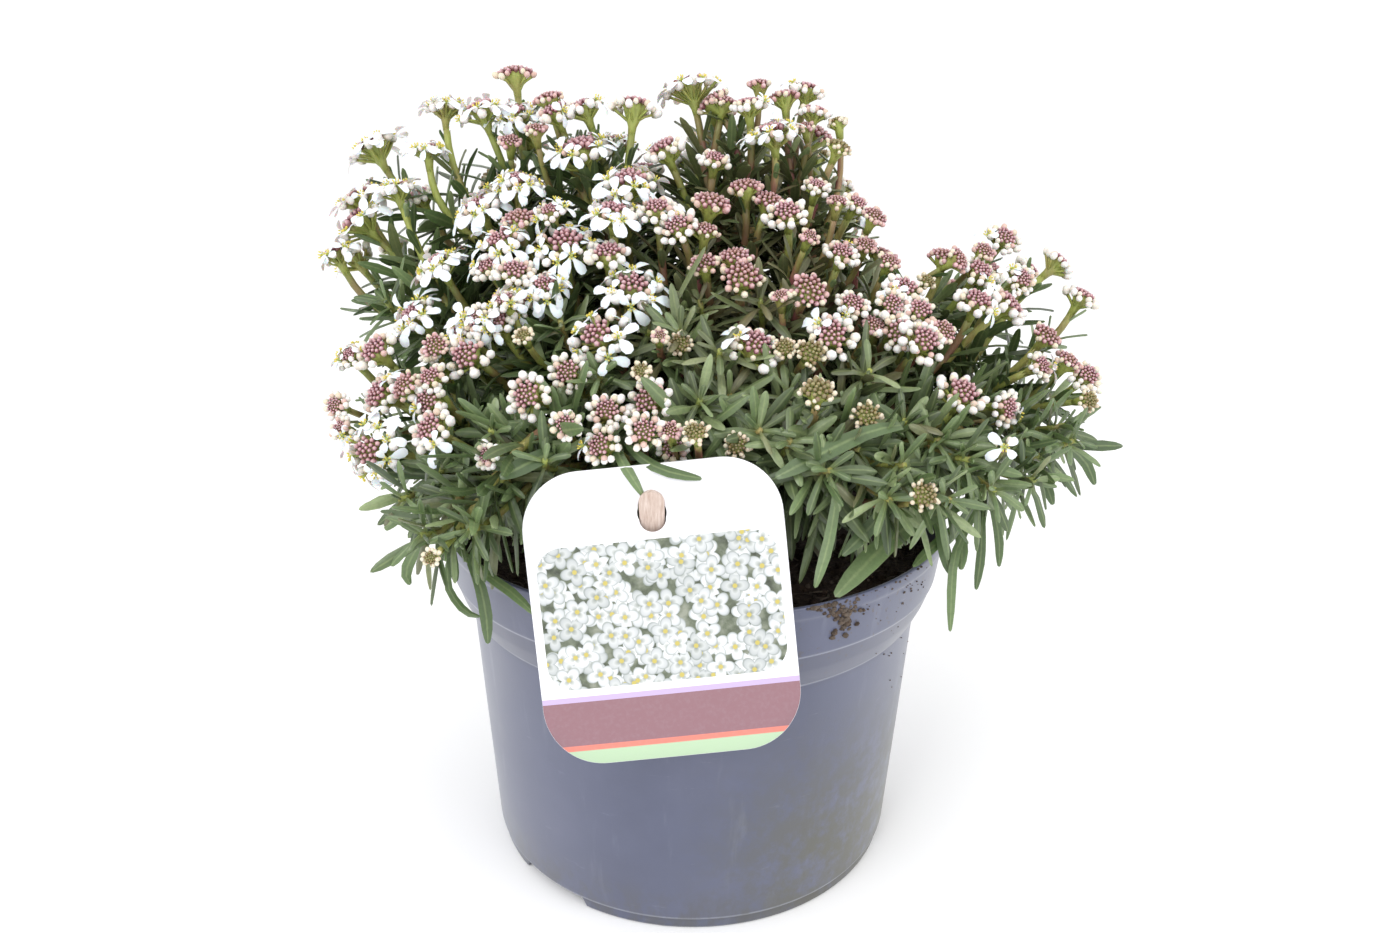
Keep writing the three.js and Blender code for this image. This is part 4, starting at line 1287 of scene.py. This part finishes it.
class Head:
    """A domed cluster: small closed buds in the middle, larger pale ones and open flowers round it."""

    def __init__(self, shoot, place, axis, radius, kind):
        self.rng, self.mesher, self.form, self.kind = shoot.rng, shoot.flowers, HEAD_KINDS[kind], kind
        self.place, self.axis, self.radius = place, axis, radius
        self.across = across(axis)
        self.dome = HEAD_DOME * radius
        self.core = self.form["centre"] * radius
        self.foot = head_foot(place, axis, radius)
        self.scale = np.clip(radius / 6.5, 0.72, 1.1)
        self.add_funnel()
        self.turn = self.rng.uniform(0, 6)
        self.add_centre()
        buds = Copies()
        self.add_middle(buds)
        self.add_ring(buds)
        buds.stamp(self.mesher, RING_BUD, BUD)
        self.add_flowers()

    def spot(self, reach, angle, rise=0.0):
        """A place on the dome, the direction that faces out of it, and the one out from the axis."""
        out = polar(angle, *self.across)
        height = self.dome * (1 - (reach / self.radius) ** 2) - 0.45 * self.dome
        facing = polar(0.9 * reach / self.radius, self.axis, out)
        return self.place + out * reach + self.axis * (height + rise), facing, out

    def uneven_angle(self, i, count, uneven):
        return self.turn + (i + self.rng.uniform(-uneven, uneven)) * TURN / count

    def add_funnel(self):
        """A fluted funnel of stalks under the closed buds."""
        levels = (-1.5, 1.2)
        points = [self.foot + self.axis * level for level in levels]
        points += [self.place - self.axis * (0.35 * self.dome + 0.8), self.place]
        radii = [1.2, 1.45, 0.78 * self.core, 0.8 * self.core]
        tube(self.mesher, np.array(points), radii, 14, PEDICEL, 0.16, tone=0.0, vary=0.75)

    def add_centre(self):
        """Small buds in a spiral, larger and paler outwards."""
        rng, count, buds = self.rng, self.form["centre_count"], Copies()
        spacing = self.core * math.sqrt(math.pi / count)
        for i in range(count):
            share = (i + 0.5) / count
            at, heading, _ = self.spot(self.core * share ** 0.56, self.turn + i * GOLDEN_ANGLE)
            size = spacing * np.interp(share, [0, 1], [0.82, 1.22]) * rng.uniform(0.92, 1.08)
            tone = np.interp(0.55 * share + 0.45 * rng.uniform(), [0, 1], self.form["centre_tones"])
            buds.add(at - heading * 0.75 * size, heading, size, size * 1.35, tone, rng.uniform())
        buds.stamp(self.mesher, SMALL_BUD, BUD)

    def add_middle(self, buds):
        rng, count = self.rng, self.form["middle_count"]
        for i in range(count):
            angle = self.uneven_angle(i, count, 0.25)
            reach = 0.5 * (self.core + self.radius) * rng.uniform(0.86, 1.0)
            size = 0.72 * self.form["ring_size"] * rng.uniform(0.88, 1.12)
            at, heading, _ = self.spot(reach, angle, rng.uniform(-0.4, 0.3))
            tone = rng.uniform(*self.form["middle_tones"])
            buds.add(at - heading * 0.6 * size, heading, size, size * 1.2, tone, rng.uniform())

    def add_ring(self, buds):
        """Large buds on stalks of their own."""
        rng, count = self.rng, self.form["ring_count"]
        for i in range(count):
            if self.kind == "bud" and rng.uniform() < 0.07:
                continue
            angle = self.uneven_angle(i, count, 0.3) + 0.3
            reach = self.radius * rng.uniform(0.8, 0.98)
            size = self.form["ring_size"] * self.scale * rng.uniform(0.85, 1.12)
            length = size * rng.uniform(1.0, 1.45)
            at, heading, _ = self.spot(reach, angle, rng.uniform(-1.0, 0.3))
            heading = unit(heading + 0.175 * rng.normal(size=3))
            place = at - heading * 0.6 * size
            buds.add(place, heading, size, length, rng.uniform(*self.form["ring_tones"]), rng.uniform())
            pedicel(self.mesher, self.foot, self.axis, place + heading * 0.2 * size, heading, rng)

    def add_flowers(self):
        rng, alone = self.rng, self.kind == "single"
        count = flower_count(rng, self.form["flowers"], self.radius)
        for i in range(count):
            angle = self.uneven_angle(i, max(count, 5), 0.3)
            reach = self.radius * (0.1 if alone else rng.uniform(0.66, 0.98))
            at, heading, out = self.spot(reach, angle, 1.6 if alone else rng.uniform(-0.3, 0.9))
            facing = unit(heading + 0.25 * rng.normal(size=3))
            size = rng.uniform(4.9, 6.4) * np.clip(self.scale, 0.85, 1.08) * (1.3 if alone else 1.0)
            open_flower(self.mesher, rng, at, facing, out, size)
            pedicel(self.mesher, self.foot, self.axis, at, heading, rng)


# Stems

STEM_LENGTH = 62.0
HEAD_CENTRE = np.array([0.0, 14.0, 132.0])
UPRIGHT = 38.0
FORWARD_LEAN = 34.0
SIDEWAYS = 0.55
LEAFLESS_TOP = 13.0
LEAFY_LENGTH = 50
LEAF_SPACING = 1.9
ROSETTE_REACH = 48.0
ROSETTE_LEAFY_LENGTH = 40
ROSETTE_TOP = 6
SINGLE_FACING = unit([0.1, -1.0, 0.75])
# How purple the stems are, by the head's x
FLUSH_BY_X = ([-60, 0, 45, 80], [0.2, 0.8, 0.75, 0.3])


def outward_axis(place, rng, wobble=0.17):
    """Which way a head at a place faces: out from the plant's middle, up, and in front a little forward."""
    lean = FORWARD_LEAN * np.interp(place[1], [0, 50], [1, 0])
    out = (place - HEAD_CENTRE) * [SIDEWAYS, 1, 1] + [0, -lean, UPRIGHT]
    return unit(unit(out) + wobble * rng.normal(size=3))


def stem_path(shoot, end, axis, reach):
    """A curve from the shoot's branch to a head, which arrives along the head's axis."""
    rng = shoot.rng
    reach *= rng.uniform(0.88, 1.12)
    distances = np.linalg.norm(shoot.path - end, axis=1)
    choice = np.argmin(np.abs(distances[3:] - reach)) + 3
    root = shoot.path[choice]
    length = np.linalg.norm(end - root)
    leave = unit(tangents(shoot.path)[choice] + 0.8 * unit(end - root) + 0.1 * rng.normal(size=3))
    return bezier([root, root + leave * 0.36 * length, end - axis * 0.42 * length, end], 14)


def add_stem(shoot, path, thick, thin, flush):
    """A stem that is thicker at its foot; flush is how purple its upper part is."""
    share = np.linspace(0, 1, len(path))
    tones = np.interp(share, [0, 0.4, 0.8, 1.0], [0.75, 0.45 * flush + 0.15, flush, 0.35 * flush])
    vary = shoot.rng.uniform(0.2, 1.0)
    radii = thick + (thin - thick) * share
    tube(shoot.stems, path, radii, 7, tone=tones[:, None], vary=vary, along=share[:, None])


def grow_flowering(place, radius, kind):
    """A leafy stem with a flower head."""
    shoot = nearest_shoot(place)
    rng = shoot.rng
    axis = SINGLE_FACING if kind == "single" else outward_axis(place, rng)
    reach = STEM_LENGTH if radius > 3 else 0.6 * STEM_LENGTH
    path = stem_path(shoot, head_foot(place, axis, radius), axis, reach)
    flush = np.interp(place[0], *FLUSH_BY_X) + HEAD_KINDS[kind]["flush"] + rng.normal(0, 0.22)
    add_stem(shoot, path, 1.6, 1.2 if radius > 4.5 else 0.95, np.clip(flush, 0, 1))
    run = lengths(path)[-1]
    top = run - LEAFLESS_TOP * rng.uniform(0.6, 1.4)
    leafy_zone(shoot, path, max(run - LEAFY_LENGTH, 6), top, LEAF_SPACING, 27, 11)
    # A few small leaves on the bare upper part of the stem
    for _ in range(rng.integers(0, 3)):
        at, along = at_length(path, rng.uniform(top, run - 4))
        add_leaf(shoot, at, along, rng.uniform(0, 6.3), rng.uniform(6, 9), 1.9, 0.3, 0.55, 0)
    Head(shoot, place, axis, radius, kind)


def grow_rosette(place):
    """A leafy shoot that ends in a rosette of leaves."""
    shoot = nearest_shoot(place)
    path = stem_path(shoot, place, outward_axis(place, shoot.rng, 0.2), ROSETTE_REACH)
    add_stem(shoot, path, 1.5, 0.8, 0.35)
    run = lengths(path)[-1]
    top = run - ROSETTE_TOP
    leafy_zone(shoot, path, max(run - ROSETTE_LEAFY_LENGTH, 5), top, 1.8, 27, 17)
    leafy_zone(shoot, path, top, run, 0.62, 15, 6)


def touches_card(place, radius):
    """Whether a head at a place would touch the card or lean over its front."""
    local = in_card(place)
    reach = 0.8 * radius + 2.0
    return near_card(local, reach) and local[2] > -reach


def grow_front():
    """The heads and rosettes that the photograph shows."""
    rng = np.random.default_rng(SEED + 3)
    for kind, heads in HEADS.items():
        for pixel_x, pixel_y, pixel_radius in heads:
            y = canopy_y(pixel_x, pixel_y) + rng.uniform(-5, 5)
            place = on_sight(pixel_x, pixel_y, y)
            radius = pixel_radius * depth_of(place) / FOCAL_PIXELS
            while touches_card(place, radius):
                y += 1
                place = on_sight(pixel_x, pixel_y, y)
            grow_flowering(place, radius, kind)
    for pixel in ROSETTES:
        grow_rosette(on_sight(*pixel, canopy_y(*pixel) + rng.uniform(4, 14)))


# The back of the plant, which the photograph doesn't show

BACK_TRIES = 1500
BACK_SPACING = 17.0
BACK_REACH = 118
BACK_LIMIT = 92.0
BACK_START = 42
BACK_LOWEST = 150
BACK_KINDS = ["open", "bud", "young", "green"]
LEFT_SHARES, RIGHT_SHARES = [0.3, 0.42, 0.2, 0.08], [0.1, 0.5, 0.3, 0.1]


def back_height(x, y):
    """The outer surface's height at the back: a dome that stays below the outline in the photograph."""
    left = 245 - 0.0022 * (x + 60) ** 2
    right = 258 - 0.0042 * x ** 2
    z = (right if x > 0 else max(min(left, right), 0)) - 0.0125 * max(y - 20, 0) ** 2
    while z > 140:
        pixel_x, pixel_y = pixel_of(np.array([x, y, z]))
        if pixel_y > skyline_at(pixel_x) + BACK_BELOW:
            break
        z -= 2
    return z


def grow_back():
    """Heads and rosettes spaced over the back, more open on the left and more in bud on the right."""
    rng = np.random.default_rng(SEED + 4)
    taken = []
    for _ in range(BACK_TRIES):
        angle = rng.uniform(math.radians(-8), math.radians(188))
        reach = BACK_REACH * math.sqrt(rng.uniform(0.05, 1))
        x, y = reach * math.cos(angle) * 1.08, reach * math.sin(angle)
        if y > BACK_LIMIT or y < BACK_START - (0.16 * abs(x) if abs(x) > 95 else 0):
            continue
        # Some heads on the far slope stand lower, down to the pot
        slope = rng.uniform(0, 1)
        z = back_height(x, y)
        if y > 60 and slope > 0.55:
            z -= rng.uniform(0, 60) * (y - 40) / 50
        place = np.array([x, y, z])
        if z < BACK_LOWEST or any(np.linalg.norm(place - other) < BACK_SPACING for other in taken):
            continue
        taken.append(place)
        kind = rng.choice(BACK_KINDS, p=LEFT_SHARES if x < 0 else RIGHT_SHARES)
        grow_flowering(place, rng.uniform(4.6, 7.4), kind)
        if rng.uniform() < 0.45:
            grow_rosette(place - unit([x, y, 40]) * 16 + rng.normal(0, 6, 3))


# Long single leaves at the rim and over the card: pixels along each, width, and y at its foot and tip
LONG_LEAVES = [
    ([(448, 566), (448, 586), (455, 600), (467, 613), (480, 617)], 2.4, -58, -66),
    ([(450, 545), (452, 561), (456, 582)], 3.4, -54, -60),
    ([(451, 540), (466, 557), (488, 576), (513, 594), (535, 615)], 3.0, -55, -82),
    ([(470, 560), (480, 586), (486, 615), (488, 644)], 3.6, -66, -78),
    ([(836, 480), (836, 500), (828, 545), (815, 588)], 3.2, -66, -80),
    ([(895, 480), (892, 500), (868, 530), (842, 556)], 4.2, -58, -72),
    ([(972, 498), (945, 512), (906, 528), (868, 562), (835, 597)], 6.6, -42, -74),
    ([(968, 515), (955, 528), (930, 550), (913, 567)], 3.2, -38, -58),
    ([(985, 490), (979, 506), (961, 540), (953, 567), (950, 632)], 2.7, -40, -62),
    ([(985, 505), (982, 521), (981, 555), (976, 590)], 2.8, -40, -50),
    ([(940, 530), (944, 549), (950, 574)], 3.8, -48, -56),
    ([(958, 525), (962, 546), (961, 570)], 3.6, -44, -52),
    ([(985, 495), (993, 508), (999, 540), (999, 567)], 2.8, -36, -42),
    ([(1045, 435), (1065, 445), (1085, 462), (1095, 485)], 3.8, -14, -18),
    ([(1030, 445), (1042, 456), (1053, 466), (1060, 477)], 3.6, -16, -24),
    ([(1022, 455), (1035, 465), (1046, 485), (1053, 505)], 3.8, -20, -26),
    ([(905, 425), (870, 432), (830, 450), (775, 478)], 5.2, -62, -74),
    ([(560, 452), (540, 458), (500, 478)], 5.0, -66, -78),
    ([(420, 500), (405, 510), (385, 530)], 4.0, -44, -48),
    ([(425, 540), (415, 552), (406, 572), (410, 585)], 3.6, -46, -52),
]
# Two leaves that lie over the card's top edge: pixels behind the card, then pixels on its front, and width
CARD_LEAVES = [
    ([(612, 440), (620, 458)], [(627, 470), (634, 481), (643, 496)], 3.0),
    ([(628, 446), (640, 457)], [(655, 467), (675, 474), (702, 479)], 3.2),
]
CARD_LEAF_GAP = 1.0
# How far behind the leaf's first point in front of the card its two points behind it are
CARD_LEAF_BEHIND = (14, 4)
LONG_STATIONS = np.append(np.linspace(0, 0.9, 10), [0.96, 0.99, 1.0])
LONG_WIDTHS = np.interp(
    LONG_STATIONS[:-1], [0, 0.3, 0.62, 0.82, 0.93, 0.99], [0.3, 0.6, 0.95, 1.0, 0.75, 0.35],
)


def on_card(pixel_x, pixel_y):
    """The point of a pixel's line of sight a little in front of the card."""
    direction = sight(pixel_x, pixel_y)
    normal = card_axes[:, 2]
    reach = (card_middle - CAMERA_PLACE) @ normal + CARD_THICKNESS / 2 + CARD_LEAF_GAP
    return CAMERA_PLACE + direction * reach / (direction @ normal)


def long_leaf_lines():
    """Each long leaf's points and width."""
    for pixels, width, near_y, far_y in LONG_LEAVES:
        ys = np.linspace(near_y, far_y, len(pixels))
        yield [on_sight(*pixel, y) for pixel, y in zip(pixels, ys)], width
    for behind, before, width in CARD_LEAVES:
        front = [on_card(*pixel) for pixel in before]
        back = [on_sight(*pixel, front[0][1] + far) for pixel, far in zip(behind, CARD_LEAF_BEHIND)]
        yield back + front, width


def grow_long_leaves():
    rng = np.random.default_rng(SEED + 5)
    for points, width in long_leaf_lines():
        line = spline(points, 40)
        start = line[0]
        shoot = nearest_shoot(start + UP * 45)
        # The foot reaches back towards the nearest stretch of the shoot's branch
        root = shoot.path[np.argmin(np.linalg.norm(shoot.path - start, axis=1))]
        foot = start + (root - start) * min(1.0, 14 / (np.linalg.norm(root - start) + 1e-6))
        hidden = bezier([foot, foot + (start - foot) * 0.5, 2 * start - line[3], start], 8)
        line = np.concatenate([hidden[:-1], line])
        run = lengths(line)
        points = between(LONG_STATIONS * run[-1], run, line)
        facing = unit(CAMERA_PLACE - points[:-1]) + 0.5 * UP
        side = unit(np.cross(tangents(points)[:-1], facing))
        vary = np.clip(rng.normal(0.45, 0.15), 0, 1)
        blade(shoot.leaves, points, side, width * LONG_WIDTHS, LEAF_THICKNESS, 0.08, tone=0.0, vary=vary)


# The woody foot's section: shares of its radius and height
CROWN_PROFILE = np.array(
    [(0, 0), (0.6, 0.02), (0.82, 0.15), (0.93, 0.34), (0.88, 0.6), (0.7, 0.82), (0.42, 0.93), (0, 0.97)]
)
CROWN_SIDES = 56


def make_crown():
    """The woody foot: a knotted lump with ridges that run up into the branches."""
    low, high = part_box("woody_crown")
    size = np.array([(high.x - low.x) / 2, high.z - low.z]) / MM
    profile = filleted(CROWN_PROFILE * size + [0, low.z / MM], 1.5)
    rings, start, end = revolved(profile, CROWN_SIDES)
    for ring in rings:
        for point, angle in zip(ring, angles_round(CROWN_SIDES)):
            swell = 1 + 0.05 * math.sin(7 * angle) + 0.06 * noise.noise(Vector(point) / 6)
            point[:2] *= min(swell, 1.07)
    mesher = Mesher()
    mesher.loft(*(points + CROWN_PLACE * FLAT for points in (rings, start, end)))
    settle(mesher.build("crown_wood", [MATERIALS["bark"]]), "bark", "woody_crown")


def make_plant():
    for shoot in shoots:
        count = len(shoot.path)
        along = np.linspace(0, 1, count)[:, None]
        tube(shoot.stems, shoot.path, np.linspace(2.6, 1.5, count), 9, material=1, along=along)
        run = lengths(shoot.path)[-1]
        leafy_zone(shoot, shoot.path, 0.35 * run, run, 2.4, 26, 22)
    grow_front()
    grow_back()
    grow_long_leaves()
    for shoot in shoots:
        for part, mesher, kinds, slot, node in (
            ("stems", shoot.stems, ("stem", "bark"), "stem", "branch"),
            ("leaves", shoot.leaves, ("leaf",), "leaf", "leaves"),
            ("flowers", shoot.flowers, ("bud", "petal", "centre", "stem"), "bud", "flower_heads"),
        ):
            piece = mesher.build(f"shoot_{shoot.number}_{part}", [MATERIALS[kind] for kind in kinds])
            settle(piece, slot, f"{node}_{shoot.number}")


# Studio, in metres

FLOOR_HALF = 12.0
LIGHT_TARGET = Vector((0, 0, 0.15))
# Each light's place, size and power
LIGHTS = {"key_light": ((-0.7, -0.9, 1.1), 0.8, 9), "fill_light": ((0.9, -0.7, 0.8), 0.9, 5)}
WORLD_STRENGTH = 1.08


def make_floor():
    mesh = bpy.data.meshes.new("floor")
    corners = [(-1, -1), (1, -1), (1, 1), (-1, 1)]
    mesh.from_pydata([(x * FLOOR_HALF, y * FLOOR_HALF, 0) for x, y in corners], [], [(0, 1, 2, 3)])
    floor = bpy.data.objects.new("floor", mesh)
    floor.location.z = -0.0002
    mesh.materials.append(floor_material())
    bpy.context.scene.collection.objects.link(floor)


def make_light(name, place, size, power):
    data = bpy.data.lights.new(name, "AREA")
    data.shape = "SQUARE"
    data.size = size
    data.energy = power
    light = bpy.data.objects.new(name, data)
    light.location = place
    light.rotation_euler = (LIGHT_TARGET - Vector(place)).to_track_quat("-Z", "Y").to_euler()
    bpy.context.scene.collection.objects.link(light)


def make_studio():
    world = bpy.data.worlds.new("studio")
    world.use_nodes = True
    background = world.node_tree.nodes["Background"]
    background.inputs["Color"].default_value = (1.0, 1.0, 1.0, 1.0)
    background.inputs["Strength"].default_value = WORLD_STRENGTH
    bpy.context.scene.world = world
    for name, settings in LIGHTS.items():
        make_light(name, *settings)
    make_floor()
    bpy.context.scene.view_settings.view_transform = "Standard"


make_camera()
make_studio()
make_pot()
make_soil()
make_crumbs()
make_crown()
make_card()
make_stick()
make_plant()
